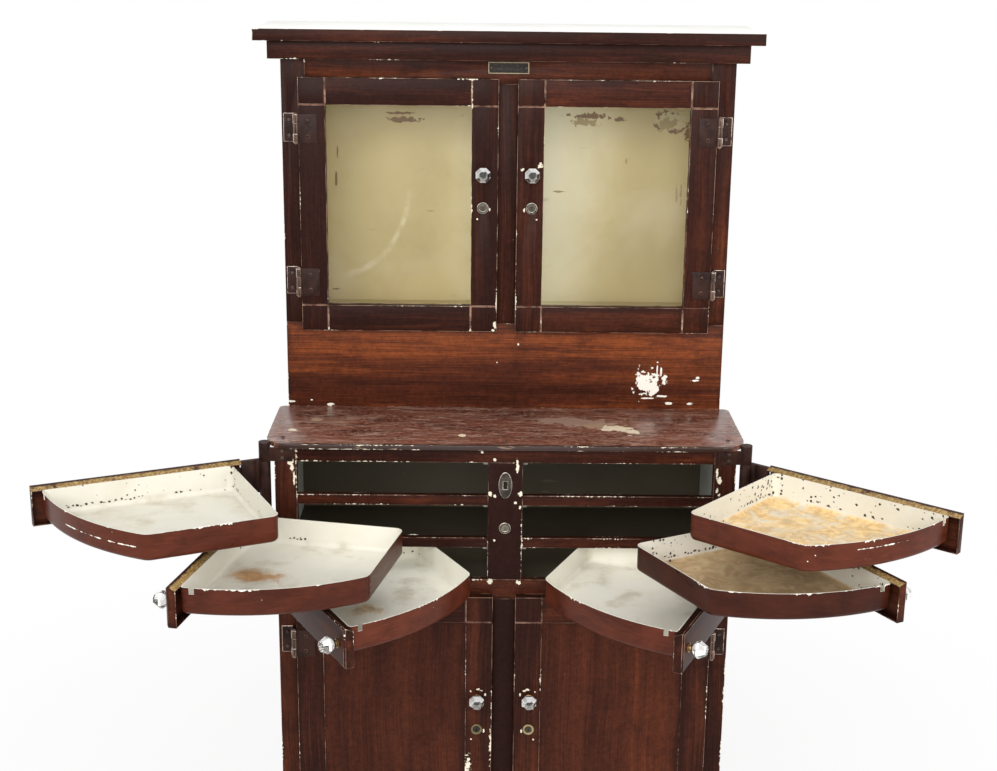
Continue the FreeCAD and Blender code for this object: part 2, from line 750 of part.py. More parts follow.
def lock_case(at, length):
    """A flanged tube along +Y from the face that it is set in, bored for its plug."""
    inward = V(0, 1, 0)
    flange = rod(lock_flange_diameter / 2, at - inward * lock_flange_sheet, at)
    tube = rod(lock_case_diameter / 2, at, at + inward * length)
    bore = rod(lock_plug_diameter / 2 + running_clearance, at - inward * overrun,
               at + inward * (length + overrun))
    return flange.fuse(tube).cut(bore).removeSplitter()


def lock_plug(at, length, tongue_length):
    """A keyed plug with a tongue on its inner end, hanging down when unlocked."""
    inward = V(0, 1, 0)
    face = at - inward * (lock_flange_sheet + lock_plug_proud)
    tail = at + inward * length
    plug = rod(lock_plug_diameter / 2, face, tail)
    tongue = box(at.x - lock_tongue_width / 2, at.x + lock_tongue_width / 2,
                 tail.y, tail.y + lock_tongue_sheet, at.z - tongue_length, at.z + lock_tongue_width / 2)
    keyway = box(at.x - keyway_width / 2, at.x + keyway_width / 2, face.y - overrun, face.y + keyway_depth,
                 at.z - keyway_length / 2, at.z + keyway_length / 2)
    return plug.fuse(tongue).cut(keyway).removeSplitter()


def door_lock_seat(door):
    """Where a door's lock starts on its face, and how far its plug reaches to the tongue."""
    at = V(door.lock_x, door.front, door.lock_z)
    return at, door.plane + frame_sheet + lock_tongue_gap - door.front


def door_fittings(door):
    """The metal fixed to a door: two hinge leaves and the lock case."""
    at, reach = door_lock_seat(door)
    leaves = [hinge_door_leaf(door, level) for level in door.hinge_levels]
    return leaves + [lock_case(at, reach - lock_case_end_gap)]


def door_knob(door):
    """The pull above the lock."""
    return placed(knob_form(), V(door.lock_x, door.front, door.lock_z + knob_above_lock), V(0, -1, 0))


upper_door = DoorPlan(half_hutch_mullion - door_overlap, stile_inner + door_overlap,
                      hutch_sill - door_overlap, hutch_head + door_overlap, hutch_front)
lower_door = DoorPlan(half_mullion - cupboard_door_mullion_overlap, post_inner + cupboard_door_post_overlap,
                      cupboard_bottom - door_overlap, cupboard_top + door_overlap, base_front)
rod_bottom_eye = tray_zone_top - len(TRAY_ROWS) * tray_pitch - bottom_eye_height
keyhole_plate_height_middle = tray_zone_top - keyhole_plate_drop
mullion_lock_height = tray_zone_top - mullion_lock_drop
nameplate_middle = hutch_top - frieze_height - nameplate_top_gap - nameplate_height / 2


def door_pieces(level, door, pane_name, pane):
    """The five pieces of the right-hand and left-hand doors at one level."""
    at, reach = door_lock_seat(door)
    right = {"door_frame": door_frame(door, pane), f"door_{pane_name}": [pane],
             "door_fittings": door_fittings(door), "door_knob": [door_knob(door)],
             "lock_plug": [lock_plug(at, reach, lock_tongue_length)]}
    pieces = {}
    for name, shapes in right.items():
        pieces[f"{level}_right_{name}"] = shapes
        pieces[f"{level}_left_{name}"] = mirrored(shapes)
    return pieces


# Plates, screws and the mullion lock

def front_plates():
    """The oval keyhole plate, the mullion's lock case and the blank nameplate."""
    middle = V(0, base_front, keyhole_plate_height_middle)
    oval = Part.Ellipse(ORIGIN, keyhole_plate_height / 2, keyhole_plate_width / 2).toShape()
    plate = Part.Face(Part.Wire([oval])).extrude(V(0, 0, keyhole_plate_sheet))
    plate.rotate(ORIGIN, UP, math.degrees(math.tau / 4))
    plate = placed(plate, middle, V(0, -1, 0))
    slot = box(-keyhole_slot_width / 2, keyhole_slot_width / 2, base_front - overrun, base_front + overrun,
               middle.z - keyhole_slot_height / 2, middle.z + keyhole_slot_height / 2)
    case = lock_case(V(0, base_front, mullion_lock_height), mullion_lock_case_length)
    nameplate = box(-nameplate_width / 2, nameplate_width / 2, hutch_front - nameplate_sheet, hutch_front,
                    nameplate_middle - nameplate_height / 2, nameplate_middle + nameplate_height / 2)
    return [plate.cut(slot), case, nameplate]


def screw_places():
    """Every screw of the fixed frame: a seat, the way its head faces and its shank's length."""
    forward = V(0, -1, 0)
    places = []
    for sign in SIDES.values():
        leaf_x = sign * (half_width + bracket_leaf_sheet - bracket_leaf_width / 2)
        for low, high in ((tray_zone_top, deck_top), (rod_bottom_eye, rod_bottom_eye + bottom_eye_height)):
            for share in bracket_screw_shares:
                at = V(leaf_x, base_front - bracket_leaf_sheet, low + share * (high - low))
                places.append((at, forward, screw_shank_length))
        for door in (upper_door, lower_door):
            x = door.axis_x + (hinge_frame_leaf_reach + hinge_knuckle_diameter / 2) / 2
            for level in door.hinge_levels:
                for z in (level - hinge_screw_spread / 2, level + hinge_screw_spread / 2):
                    places.append((V(sign * x, door.plane - hinge_leaf_sheet, z), forward,
                                   screw_shank_length))
        places.append((V(sign * (half_width - worktop_screw_side_inset),
                         base_front + worktop_screw_front_inset - worktop_front_overhang,
                         worktop_height), UP, worktop_screw_length))
        plate_z = sign * (keyhole_plate_height / 2 - plate_screw_end_inset)
        places.append((V(0, base_front - keyhole_plate_sheet, keyhole_plate_height_middle + plate_z),
                       forward, screw_shank_length))
        plate_x = sign * (nameplate_width / 2 - plate_screw_end_inset)
        places.append((V(plate_x, hutch_front - nameplate_sheet, nameplate_middle), forward,
                       screw_shank_length))
    for y in (base_front + worktop_screw_rail_inset, hutch_front - worktop_screw_rear_inset):
        places.append((V(0, y, worktop_height), UP, worktop_screw_length))
    return places


bracket_screw_shares = (0.27, 0.75)


def cabinet():
    """Every node of the cabinet, by name, as a list of solids."""
    screws = screw_places()
    holes = screw_holes(screws)
    leaves = [hinge_frame_leaf(door, level) for door in (upper_door, lower_door)
              for level in door.hinge_levels]
    nodes = {
        "base_wall_panels": base_wall_panels(),
        "base_decks": drilled(base_decks(), holes),
        "base_front_frame": drilled(base_front_frame(), holes),
        "base_feet": base_feet(),
        "worktop": drilled(worktop(), holes),
        "pivot_brackets": drilled(pivot_brackets(), holes),
        "pivot_rods": pivot_rods(),
        "tray_catches": tray_catches(),
        "front_plates": drilled(front_plates(), holes),
        "hutch_wall_panels": hutch_wall_panels(),
        "hutch_decks": hutch_decks(),
        "hutch_front_frame": drilled(hutch_front_frame(), holes),
        "cornice": cornice(),
        "hinge_frame_leaves": drilled(both_sides(leaves), holes),
        "frame_screws": [placed(screw(length), at, outward) for at, outward, length in screws],
        "mullion_lock_plug": [lock_plug(V(0, base_front, mullion_lock_height),
                                        mullion_lock_case_length + lock_case_end_gap,
                                        mullion_lock_tongue_length)],
    }
    nodes.update(door_pieces("upper", upper_door, "glass", door_glass(upper_door)))
    nodes.update(door_pieces("lower", lower_door, "panel", door_panel(lower_door)))
    for side in SIDES:
        for row in range(len(TRAY_ROWS)):
            nodes.update({name: [shape] for name, shape in tray_pieces(side, row).items()})
    return nodes


os.makedirs("parts", exist_ok=True)
for node, solids in cabinet().items():
    shape = solids[0] if len(solids) == 1 else Part.makeCompound(solids)
    shape.translate(V(origin_side_shift, 0, 0))
    shape.exportStep(os.path.join("parts", f"{node}.step"))
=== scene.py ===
import json
import math
from functools import cache
from typing import NamedTuple

import bmesh
import bpy
import numpy as np
from mathutils import Matrix, Vector


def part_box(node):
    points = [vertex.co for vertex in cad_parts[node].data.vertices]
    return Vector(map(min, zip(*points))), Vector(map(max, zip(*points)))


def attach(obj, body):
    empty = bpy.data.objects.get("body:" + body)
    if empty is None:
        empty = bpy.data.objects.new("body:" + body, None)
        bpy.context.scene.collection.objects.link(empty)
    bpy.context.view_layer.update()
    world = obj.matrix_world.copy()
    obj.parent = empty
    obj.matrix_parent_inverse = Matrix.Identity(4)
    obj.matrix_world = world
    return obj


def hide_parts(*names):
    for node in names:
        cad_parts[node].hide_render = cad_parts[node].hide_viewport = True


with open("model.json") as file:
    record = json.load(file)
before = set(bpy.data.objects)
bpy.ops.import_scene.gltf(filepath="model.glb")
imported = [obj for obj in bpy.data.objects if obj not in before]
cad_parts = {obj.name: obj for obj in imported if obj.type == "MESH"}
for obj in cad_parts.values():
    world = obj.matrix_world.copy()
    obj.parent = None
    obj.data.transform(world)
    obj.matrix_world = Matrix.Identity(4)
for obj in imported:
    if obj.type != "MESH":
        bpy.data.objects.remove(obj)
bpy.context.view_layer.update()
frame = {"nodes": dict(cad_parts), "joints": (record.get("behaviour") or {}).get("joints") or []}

bl_info = {
    "name": "Dental Cabinet Finish",
    "version": (1, 0, 0),
    "blender": (4, 5, 0),
    "location": "3D View > Sidebar > Cabinet",
    "description": "Dresses the cabinet's solids with worn paint, enamel, glass and fittings",
    "category": "Object",
}

ROOT = "cabinet"
SIDES = ("left", "right")
LEVELS = ("upper", "lower")
ROWS = ("top", "middle", "bottom")
NODES = frame["nodes"]
JOINTS = {joint["child"]: joint for joint in frame["joints"]}


# Settings that a user would change

def colour(name, default, description):
    """A colour setting."""
    return bpy.props.FloatVectorProperty(name=name, description=description, subtype="COLOR", size=3,
                                         min=0, max=1, default=default)


def length(name, default, description):
    """A length setting in metres."""
    return bpy.props.FloatProperty(name=name, description=description, unit="LENGTH", min=0,
                                   default=default, precision=5)


def power(name, default, description):
    """A lamp's power setting in watts."""
    return bpy.props.FloatProperty(name=name, description=description, unit="POWER", min=0, default=default)


class CabinetColours(bpy.types.PropertyGroup):
    """Colours of the cabinet's finishes."""
    grain_dark: colour("Grain dark", (0.019, 0.0060, 0.0042), "Darkest streaks of the grained paint")
    grain_middle: colour("Grain middle", (0.074, 0.0190, 0.0088), "Body colour of the grained paint")
    grain_light: colour("Grain light", (0.210, 0.052, 0.0145), "Light streaks of the grained paint")
    rubbed: colour("Rubbed edge", (0.40, 0.25, 0.175), "Edges where the paint has worn thin")
    ground: colour("Ground coat", (0.73, 0.66, 0.52), "Cream coat that shows where the paint has chipped")
    worktop: colour("Worktop", (0.140, 0.041, 0.022), "Red-brown paint of the worktop")
    worktop_pale: colour("Worktop bloom", (0.46, 0.30, 0.23), "Greyish bloom on the worktop")
    enamel: colour("Enamel", (0.80, 0.775, 0.675), "White enamel inside the trays")
    enamel_back: colour("Enamel outside", (0.094, 0.0215, 0.0098), "Red-brown outside of the trays")
    inside: colour("Inside paint", (0.585, 0.475, 0.225), "Aged cream inside the upper cupboard")
    bay: colour("Bay paint", (0.92, 0.93, 0.84), "Grey-white paint on the sides of the tray bay")
    bay_back: colour("Bay back", (0.105, 0.088, 0.058), "Dark paint on the back and decks of the base")
    hinge: colour("Hinge brown", (0.034, 0.0125, 0.0085), "Brown paint on hinges and straps")
    steel: colour("Bare metal", (0.70, 0.56, 0.47), "Metal where paint has rubbed off")
    nickel: colour("Nickel", (0.50, 0.46, 0.39), "Plating of the plates and locks")
    lock_brass: colour("Lock brass", (0.44, 0.35, 0.19), "Brass of the lower locks")
    brass: colour("Brass", (0.30, 0.20, 0.09), "Ferrules of the knobs")


class CabinetSizes(bpy.types.PropertyGroup):
    """Sizes of the small pieces that are modelled here."""
    edge: length("Edge rounding", 0.0006, "Rounding of folded sheet edges")
    fine_edge: length("Fine edge rounding", 0.00035, "Rounding of small metal edges")
    # On the hinges these wide rounded edges show bare metal: partly real wear, partly a painted highlight.
    metal_edge: length("Metal edge rounding", 0.0012, "Rounding of hinges and plates, where they rub bright")
    screw_head: length("Screw head radius", 0.0034, "Radius of a screw head")
    screw_crown: length("Screw crown radius", 0.0023, "Radius of the flat on top of a screw head")
    screw_height: length("Screw head height", 0.0018, "Height of a screw head")
    slot_width: length("Screw slot width", 0.0009, "Width of the driver slot")
    slot_depth: length("Screw slot depth", 0.0009, "Depth of the driver slot")
    knob_neck: length("Knob neck radius", 0.0062, "Radius of the glass where it meets the ferrule")
    knob_belly: length("Knob radius", 0.0134, "Corner radius of the glass at its widest")
    knob_table: length("Knob table radius", 0.0078, "Corner radius of the flat in front")
    knob_ferrule: length("Ferrule length", 0.0068, "Length of the metal ferrule")
    knob_length: length("Knob length", 0.0278, "From the seat to the front of the glass")
    door_stile: length("Door stile width", 0.045, "Width of a door's frame members")
    knob_sides: bpy.props.IntProperty(name="Knob sides", description="Facets round a glass knob",
                                      default=8, min=5, max=16)


class CabinetStage(bpy.types.PropertyGroup):
    """Light and floor."""
    key_power: power("Key light", 80.0, "Power of the large front light")
    fill_power: power("Fill light", 40.0, "Power of the side light")
    top_power: power("Top light", 12.0, "Power of the overhead light")
    ambient: bpy.props.FloatProperty(name="Ambient", description="Strength of the light from all round",
                                     default=0.76, min=0)
    floor: colour("Floor", (0.86, 0.86, 0.85), "Colour of the floor")


SETTINGS = {"cabinet_colours": CabinetColours, "cabinet_sizes": CabinetSizes, "cabinet_stage": CabinetStage}


def colours():
    """The colour settings of this scene."""
    return bpy.context.scene.cabinet_colours


def sizes():
    """The size settings of this scene."""
    return bpy.context.scene.cabinet_sizes


# Places of the pieces

def extent(points):
    """The lowest and highest corners of the box round some points."""
    axes = list(zip(*points))
    return Vector([min(axis) for axis in axes]), Vector([max(axis) for axis in axes])


def middle_of(node):
    """The middle of a CAD node's box."""
    low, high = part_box(node)
    return (low + high) / 2


CENTRE_X = middle_of("worktop").x


class TrayFrame:
    """A tray's own axes: u from the pivot towards the free end of the front, v to the back."""

    def __init__(self, body):
        joint = JOINTS[body]
        self.pivot = Vector(joint["pos_m"])
        self.hand = -joint["axis"][2]
        angle = math.radians(-joint["range_deg"][0])
        self.cos, self.sin = math.cos(angle), math.sin(angle)

    def direction(self, vector):
        """A direction of the cabinet in the tray's axes."""
        x, y = vector.x * self.hand, vector.y
        return Vector((x * self.cos - y * self.sin, x * self.sin + y * self.cos, vector.z))

    def local(self, point):
        """A point of the cabinet in the tray's axes."""
        moved = self.direction(point - self.pivot)
        return Vector((moved.x, moved.y, point.z))

    def outward(self, u, v):
        """A direction in the tray's axes as a direction of the cabinet."""
        return Vector(((u * self.cos + v * self.sin) * self.hand, -u * self.sin + v * self.cos, 0))

    def world(self, u, v, z):
        """A point in the tray's axes as a point of the cabinet."""
        moved = self.outward(u, v)
        return Vector((self.pivot.x + moved.x, self.pivot.y + moved.y, z))


TRAYS = {f"{side}_{row}_tray": TrayFrame(f"{side}_{row}_tray") for side in SIDES for row in ROWS}


# Node trees

FLOAT, INTEGER, VECTOR = "NodeSocketFloat", "NodeSocketInt", "NodeSocketVector"
COLOUR, MATERIAL, GEOMETRY = "NodeSocketColor", "NodeSocketMaterial", "NodeSocketGeometry"
BLACK = (0.0, 0.0, 0.0, 1.0)


class Value:
    """One output of a node, with which sums are written as with numbers."""

    def __init__(self, graph, socket):
        self.graph, self.socket = graph, socket

    def __add__(self, other):
        return self.graph.sum("ADD", self, other)

    def __radd__(self, other):
        return self.graph.sum("ADD", other, self)

    def __sub__(self, other):
        return self.graph.sum("SUBTRACT", self, other)

    def __rsub__(self, other):
        return self.graph.sum("SUBTRACT", other, self)

    def __mul__(self, other):
        return self.graph.sum("MULTIPLY", self, other)

    def __truediv__(self, other):
        return self.graph.sum("DIVIDE", self, other)

    def __abs__(self):
        return self.graph.sum("ABSOLUTE", self)

    def band(self, start, end):
        """0 at the start and 1 at the end, smooth between them and level beyond."""
        return self.graph.add("ShaderNodeMapRange", {"Value": self, "From Min": start, "From Max": end},
                              interpolation_type="SMOOTHSTEP")


def has_parts(term):
    """Whether a term of a sum is a vector or a colour."""
    return isinstance(term, tuple) or isinstance(term, Value) and term.socket.type in ("VECTOR", "RGBA")


class Graph:
    """Short ways to add nodes to one tree."""

    def __init__(self, tree):
        self.tree = tree

    def put(self, socket, value):
        """Links a socket, or sets its value."""
        if isinstance(value, Value):
            self.tree.links.new(value.socket, socket)
        elif socket.type == "RGBA":
            socket.default_value = (*tuple(value)[:3], 1.0)
        else:
            socket.default_value = value

    def node(self, kind, inputs=None, **settings):
        """A new node with its settings and inputs."""
        node = self.tree.nodes.new(kind)
        for name, value in settings.items():
            setattr(node, name, value)
        for key, value in (inputs or {}).items():
            self.put(node.inputs[key], value)
        return node

    def values(self, node):
        """A node's outputs by name."""
        return {socket.name: Value(self, socket) for socket in node.outputs}

    def add(self, kind, inputs=None, output=0, **settings):
        """One output of a new node."""
        return Value(self, self.node(kind, inputs, **settings).outputs[output])

    def sum(self, operation, *terms):
        """A sum of numbers, or of vectors and colours where one of the terms is one."""
        kind = "ShaderNodeVectorMath" if any(has_parts(term) for term in terms) else "ShaderNodeMath"
        return self.add(kind, dict(enumerate(terms)), operation=operation)

    def most(self, a, b):
        """The larger of two values."""
        return self.sum("MAXIMUM", a, b)

    def least(self, a, b):
        """The smaller of two values."""
        return self.sum("MINIMUM", a, b)

    def length(self, vector):
        """The length of a vector."""
        return self.add("ShaderNodeVectorMath", {0: vector}, "Value", operation="LENGTH")

    def noise(self, vector, scale=1.0, detail=4.0, roughness=0.55, distortion=0.0):
        """A cloudy pattern."""
        return self.add("ShaderNodeTexNoise", {"Vector": vector, "Scale": scale, "Detail": detail,
                                               "Roughness": roughness, "Distortion": distortion}, "Fac")

    def ripple(self, vector, scale):
        """A cloudy pattern that differs along each axis."""
        return self.add("ShaderNodeTexNoise", {"Vector": vector, "Scale": scale}, "Color")

    def mix(self, share, a, b):
        """A colour between two colours."""
        return self.add("ShaderNodeMix", {0: share, 6: a, 7: b}, 2, data_type="RGBA", clamp_factor=True)

    def blend(self, share, a, b):
        """A number between two numbers."""
        return self.add("ShaderNodeMix", {0: share, 2: a, 3: b}, data_type="FLOAT", clamp_factor=True)

    def place(self):
        """The place on the object, in metres."""
        return self.add("ShaderNodeTexCoord", output="Object")

    def split(self, vector):
        """The three parts of a vector."""
        return list(self.values(self.node("ShaderNodeSeparateXYZ", {0: vector})).values())

    def join(self, x, y, z):
        """A vector from its three parts."""
        return self.add("ShaderNodeCombineXYZ", {0: x, 1: y, 2: z})

    def attribute(self, name, output="Vector"):
        """An attribute of the mesh."""
        return self.add("ShaderNodeAttribute", output=output, attribute_name=name)

    def group(self, tree, **inputs):
        """The outputs of a shared group, by name."""
        return self.values(self.node("ShaderNodeGroup", inputs, node_tree=tree))

    def specks(self, scale, amount, gather):
        """The shared group of scattered chips."""
        return self.group(speck_group(), Scale=scale, Amount=amount, Gather=gather)["Mask"]

    def scratches(self, run, amount):
        """The shared group of fine lines."""
        return self.group(scratch_group(), Run=run, Amount=amount)["Mask"]


class Group(Graph):
    """A tree with named inputs, each given by its default or its kind of socket, and named outputs."""

    def __init__(self, kind, name, inputs, outputs):
        super().__init__(bpy.data.node_groups.new(name, kind))
        for label, given in inputs.items():
            self.socket(label, "INPUT", given)
        for label, given in outputs.items():
            self.socket(label, "OUTPUT", given)
        self.enter = self.values(self.tree.nodes.new("NodeGroupInput"))
        self.leave = self.tree.nodes.new("NodeGroupOutput").inputs

    def socket(self, label, in_out, given):
        """Adds a socket."""
        if isinstance(given, str):
            self.tree.interface.new_socket(label, in_out=in_out, socket_type=given)
            return
        kind = FLOAT if isinstance(given, float) else {3: VECTOR, 4: COLOUR}[len(given)]
        self.tree.interface.new_socket(label, in_out=in_out, socket_type=kind).default_value = given

    def give(self, **outputs):
        """Ends the tree with its outputs."""
        for label, value in outputs.items():
            self.put(self.leave[label], value)
        return self.tree


# Shared effects, each a group of shader nodes

GRAIN_LAYERS = ((0.95, (1.3, 24.0, 24.0), 2.0), (0.34, (3.0, 95.0, 95.0), 3.0),
                (0.62, (8.0, 480.0, 480.0), 2.0), (0.45, (4.0, 7.0, 7.0), 3.0))
GRAIN_WANDER = 0.03
GRIME_REACH = 0.012
PAINT_STEP = 0.0003


@cache
def grain_group():
    """Brushed mahogany graining along the grain attribute of each member."""
    g = Group("ShaderNodeTree", "Mahogany graining",
              {"Dark": BLACK, "Middle": BLACK, "Light": BLACK, "Shift": 0.0, "Contrast": 1.0},
              {"Colour": COLOUR, "Streaks": FLOAT})
    along = g.attribute("grain")
    bent = along + g.join(0.0, g.noise(along, 3.5, 2.0) * GRAIN_WANDER, 0.0)
    tone = g.enter["Shift"] + g.attribute("tone", "Fac") + 0.5
    streaks = 0.5
    for weight, stretch, detail in GRAIN_LAYERS:
        wave = (g.noise(bent * stretch, 1.0, detail, 0.55, 0.3) - 0.5) * g.enter["Contrast"]
        tone = tone + wave * weight
        streaks = streaks + wave * 0.5
    body = g.mix(tone.band(0.09, 0.64), g.enter["Dark"], g.enter["Middle"])
    body = g.mix(tone.band(0.50, 0.92), body, g.enter["Light"])
    mottle = g.noise(along, 120.0, 6.0, 0.82).band(0.30, 0.70)
    return g.give(Colour=body * g.blend(mottle, 0.74, 1.28), Streaks=streaks)


@cache
def chip_group():
    """Paint lost along the edges of each member, bare lines on the edges themselves and dirt beside them."""
    g = Group("ShaderNodeTree", "Edge chips", {"Reach": 0.004, "Amount": 0.5, "Size": 190.0},
              {"Chips": FLOAT, "Rubbed": FLOAT, "Grime": FLOAT})
    place = g.place()
    x, y, z = g.split(g.least(g.attribute("low"), g.attribute("high")))
    edge = g.most(g.least(x, y), g.least(g.most(x, y), z))
    ragged = g.noise(place, g.enter["Size"], 3.0, 0.6).band(0.40, 0.74)
    patch = (g.noise(place, 13.0, 3.0, 0.6) + g.enter["Amount"] * 0.30).band(0.62, 0.80)
    chips = (g.enter["Reach"] * patch * ragged - edge).band(0.0, PAINT_STEP)
    worn = g.noise(place, 38.0, 4.0, 0.65).band(0.38, 0.62)
    dirt = g.noise(place, 17.0, 4.0, 0.65) + edge.band(GRIME_REACH, 0.0) * 0.22
    return g.give(Chips=chips, Rubbed=g.attribute("rubbed", "Fac") * worn, Grime=dirt.band(0.50, 0.78))


@cache
def spot_group():
    """One ragged mark at a place: an oval, or a bar of even width."""
    g = Group("ShaderNodeTree", "Ragged mark",
              {"Place": (0, 0, 0), "Size": (1, 1, 1), "Ragged": 0.6, "Scale": 90.0, "Bar": 0.0},
              {"Mask": FLOAT})
    place = g.place()
    away = (place - g.enter["Place"]) / g.enter["Size"]
    x, y, z = g.split(abs(away))
    distance = g.blend(g.enter["Bar"], g.length(away), g.most(x, g.most(y, z)))
    rough = (g.noise(place, g.enter["Scale"], 4.0, 0.62) - 0.5) * (g.enter["Ragged"] * 3.4)
    return g.give(Mask=(distance + rough).band(1.0, 0.86))


@cache
def speck_group():
    """Small chips scattered in clusters: round cells of a random size, most of them left out."""
    g = Group("ShaderNodeTree", "Specks", {"Scale": 160.0, "Amount": 0.3, "Gather": 1.0}, {"Mask": FLOAT})
    place = g.place()
    bent = place + g.ripple(place, 330.0) * (0.004, 0.004, 0.004)
    cells = g.values(g.node("ShaderNodeTexVoronoi", {"Vector": bent, "Scale": g.enter["Scale"]}))
    cluster = g.noise(place, 15.0, 3.0, 0.6) - 0.5
    odds = g.enter["Amount"] + cluster * (g.enter["Gather"] * 1.6)
    size = g.least((odds - g.split(cells["Color"])[0]) * 1.2, 0.42)
    return g.give(Mask=(size - cells["Distance"]).band(0.0, 0.06))


@cache
def scratch_group():
    """Fine lines that run one way."""
    g = Group("ShaderNodeTree", "Scratches", {"Run": (6, 400, 400), "Amount": 0.3}, {"Mask": FLOAT})
    place = g.place()
    bent = place + g.ripple(place, 5.0) * (0.05, 0.05, 0.05)
    lines = g.noise(bent * g.enter["Run"], 1.0, 1.0, 0.4)
    gate = g.noise(place, 14.0, 2.0).band(0.48, 0.62)
    return g.give(Mask=(lines - (0.80 - g.enter["Amount"] * 0.14)).band(0.0, 0.02) * gate)


# Marks at known places

CHIP_DEPTH = 0.02
WORKTOP_MARK_DEPTH = 0.01
WORKTOP_MARK_SCALE = 60.0
BACK_PANEL = 0.0012
TAN, PALE, DULL = (0.34, 0.22, 0.14), (0.72, 0.60, 0.43), (0.30, 0.185, 0.135)
SPLASH_PALE = (0.80, 0.77, 0.68)
BROWN, STRAW, HONEY = (0.22, 0.115, 0.040), (0.40, 0.30, 0.13), (0.60, 0.51, 0.27)

# Bloom and bare patches on the worktop: x, y, half width, half depth, raggedness, colour
WORKTOP_MARKS = (
    (0.125, 0.110, 0.050, 0.022, 0.75, DULL), (0.165, 0.095, 0.050, 0.026, 0.85, DULL),
    (0.190, 0.080, 0.040, 0.018, 0.80, TAN), (0.212, 0.068, 0.026, 0.016, 0.85, PALE),
    (0.236, 0.050, 0.012, 0.016, 0.90, PALE), (-0.300, 0.105, 0.010, 0.010, 0.7, TAN),
    (-0.335, 0.045, 0.010, 0.007, 0.5, PALE), (-0.05, 0.022, 0.006, 0.008, 0.5, PALE))

# Chips on the base's front frame: x, z, half width, half height
BASE_CHIPS = (
    (-0.017, 0.835, 0.0020, 0.0020), (0.004, 0.822, 0.0022, 0.0024), (0.041, 0.818, 0.0018, 0.006),
    (0.042, 0.808, 0.0026, 0.007), (-0.003, 0.762, 0.0030, 0.0055), (0.005, 0.759, 0.0028, 0.0028),
    (0.047, 0.763, 0.0038, 0.0040), (0.039, 0.747, 0.0022, 0.0022), (0.047, 0.739, 0.0022, 0.003),
    (0.005, 0.680, 0.0020, 0.0022), (-0.002, 0.606, 0.0050, 0.0050), (0.046, 0.605, 0.0040, 0.0035),
    (-0.332, 0.815, 0.0048, 0.0055), (-0.330, 0.805, 0.0028, 0.006), (-0.327, 0.790, 0.0016, 0.014),
    (0.372, 0.800, 0.0022, 0.010), (0.377, 0.789, 0.0032, 0.0065), (0.373, 0.770, 0.0022, 0.005),
    (0.377, 0.764, 0.0022, 0.003), (-0.352, 0.70, 0.0016, 0.0022), (0.392, 0.66, 0.0016, 0.003))

# Chips and scrapes on the splash panel and stiles: x, z, half width, half height, raggedness, scale
HUTCH_CHIPS = (
    (0.272, 0.897, 0.018, 0.021, 1.35, 95.0), (0.262, 0.906, 0.008, 0.006, 1.2, 120.0),
    (0.284, 0.886, 0.009, 0.012, 0.7, 100.0), (0.290, 0.912, 0.0016, 0.018, 0.6, 90.0),
    (0.297, 0.918, 0.0018, 0.009, 0.6, 90.0), (0.303, 0.904, 0.005, 0.008, 0.9, 140.0),
    (0.300, 0.873, 0.008, 0.0022, 0.7, 90.0), (0.272, 0.869, 0.013, 0.0014, 0.6, 90.0),
    (0.356, 0.902, 0.007, 0.0020, 0.8, 120.0), (0.362, 0.907, 0.003, 0.0018, 0.8, 120.0),
    (0.313, 0.860, 0.006, 0.0018, 0.9, 150.0), (0.350, 0.860, 0.006, 0.0030, 0.9, 150.0),
    (0.045, 0.965, 0.0016, 0.0026, 0.4, 150.0), (0.008, 0.932, 0.0012, 0.0014, 0.4, 150.0),
    (-0.354, 0.858, 0.009, 0.0018, 0.4, 90.0), (-0.318, 0.861, 0.0022, 0.0016, 0.5, 90.0),
    (-0.286, 0.853, 0.006, 0.0022, 0.9, 150.0), (0.290, 0.935, 0.0016, 0.0012, 0.5, 150.0))

# Stains and scuffs on the upper cupboard's back: x, z, half width, half height, raggedness, scale, colour
BACK_STAINS = (
    (-0.164, 1.344, 0.031, 0.0024, 1.1, 130.0, BROWN), (-0.164, 1.332, 0.030, 0.0050, 1.1, 130.0, BROWN),
    (0.172, 1.342, 0.036, 0.0052, 1.2, 110.0, BROWN), (0.165, 1.331, 0.022, 0.0060, 1.2, 110.0, STRAW),
    (0.228, 1.337, 0.012, 0.0040, 1.1, 110.0, BROWN), (0.318, 1.333, 0.034, 0.021, 0.55, 55.0, BROWN),
    (0.318, 1.333, 0.029, 0.017, 0.7, 90.0, HONEY), (0.312, 1.330, 0.018, 0.010, 1.1, 90.0, STRAW),
    (0.350, 1.312, 0.006, 0.012, 1.1, 110.0, BROWN), (-0.283, 1.272, 0.0016, 0.012, 0.9, 90.0, BROWN),
    (-0.286, 1.222, 0.0022, 0.014, 0.9, 90.0, BROWN), (0.334, 1.200, 0.0018, 0.018, 1.5, 90.0, STRAW),
    (0.342, 1.196, 0.0016, 0.020, 1.5, 90.0, STRAW), (0.240, 1.262, 0.0016, 0.005, 0.8, 90.0, STRAW),
    (0.120, 1.205, 0.012, 0.0016, 0.9, 90.0, STRAW), (-0.289, 1.020, 0.006, 0.0014, 1.2, 150.0, BROWN),
    (-0.112, 1.167, 0.008, 0.0012, 1.1, 150.0, STRAW))


class Mark(NamedTuple):
    """One ragged mark: middle, half sizes, raggedness, scale of its edge, colour, and 1 for a bar."""
    place: tuple
    size: tuple
    ragged: float
    scale: float
    tint: tuple
    bar: float = 0.0


def upright_mark(x, z, y, wide, tall, ragged=0.45, scale=150.0, tint=None, bar=0.0):
    """A mark on an upright face: a chip down to the ground coat, or of another colour."""
    return Mark((x, y, z), (wide, CHIP_DEPTH, tall), ragged, scale, tuple(tint or colours().ground), bar)


def worktop_marks():
    """The worktop's patches."""
    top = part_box("worktop")[1].z
    return [Mark((x, y, top), (wide, deep, WORKTOP_MARK_DEPTH), ragged, WORKTOP_MARK_SCALE, tint)
            for x, y, wide, deep, ragged, tint in WORKTOP_MARKS]


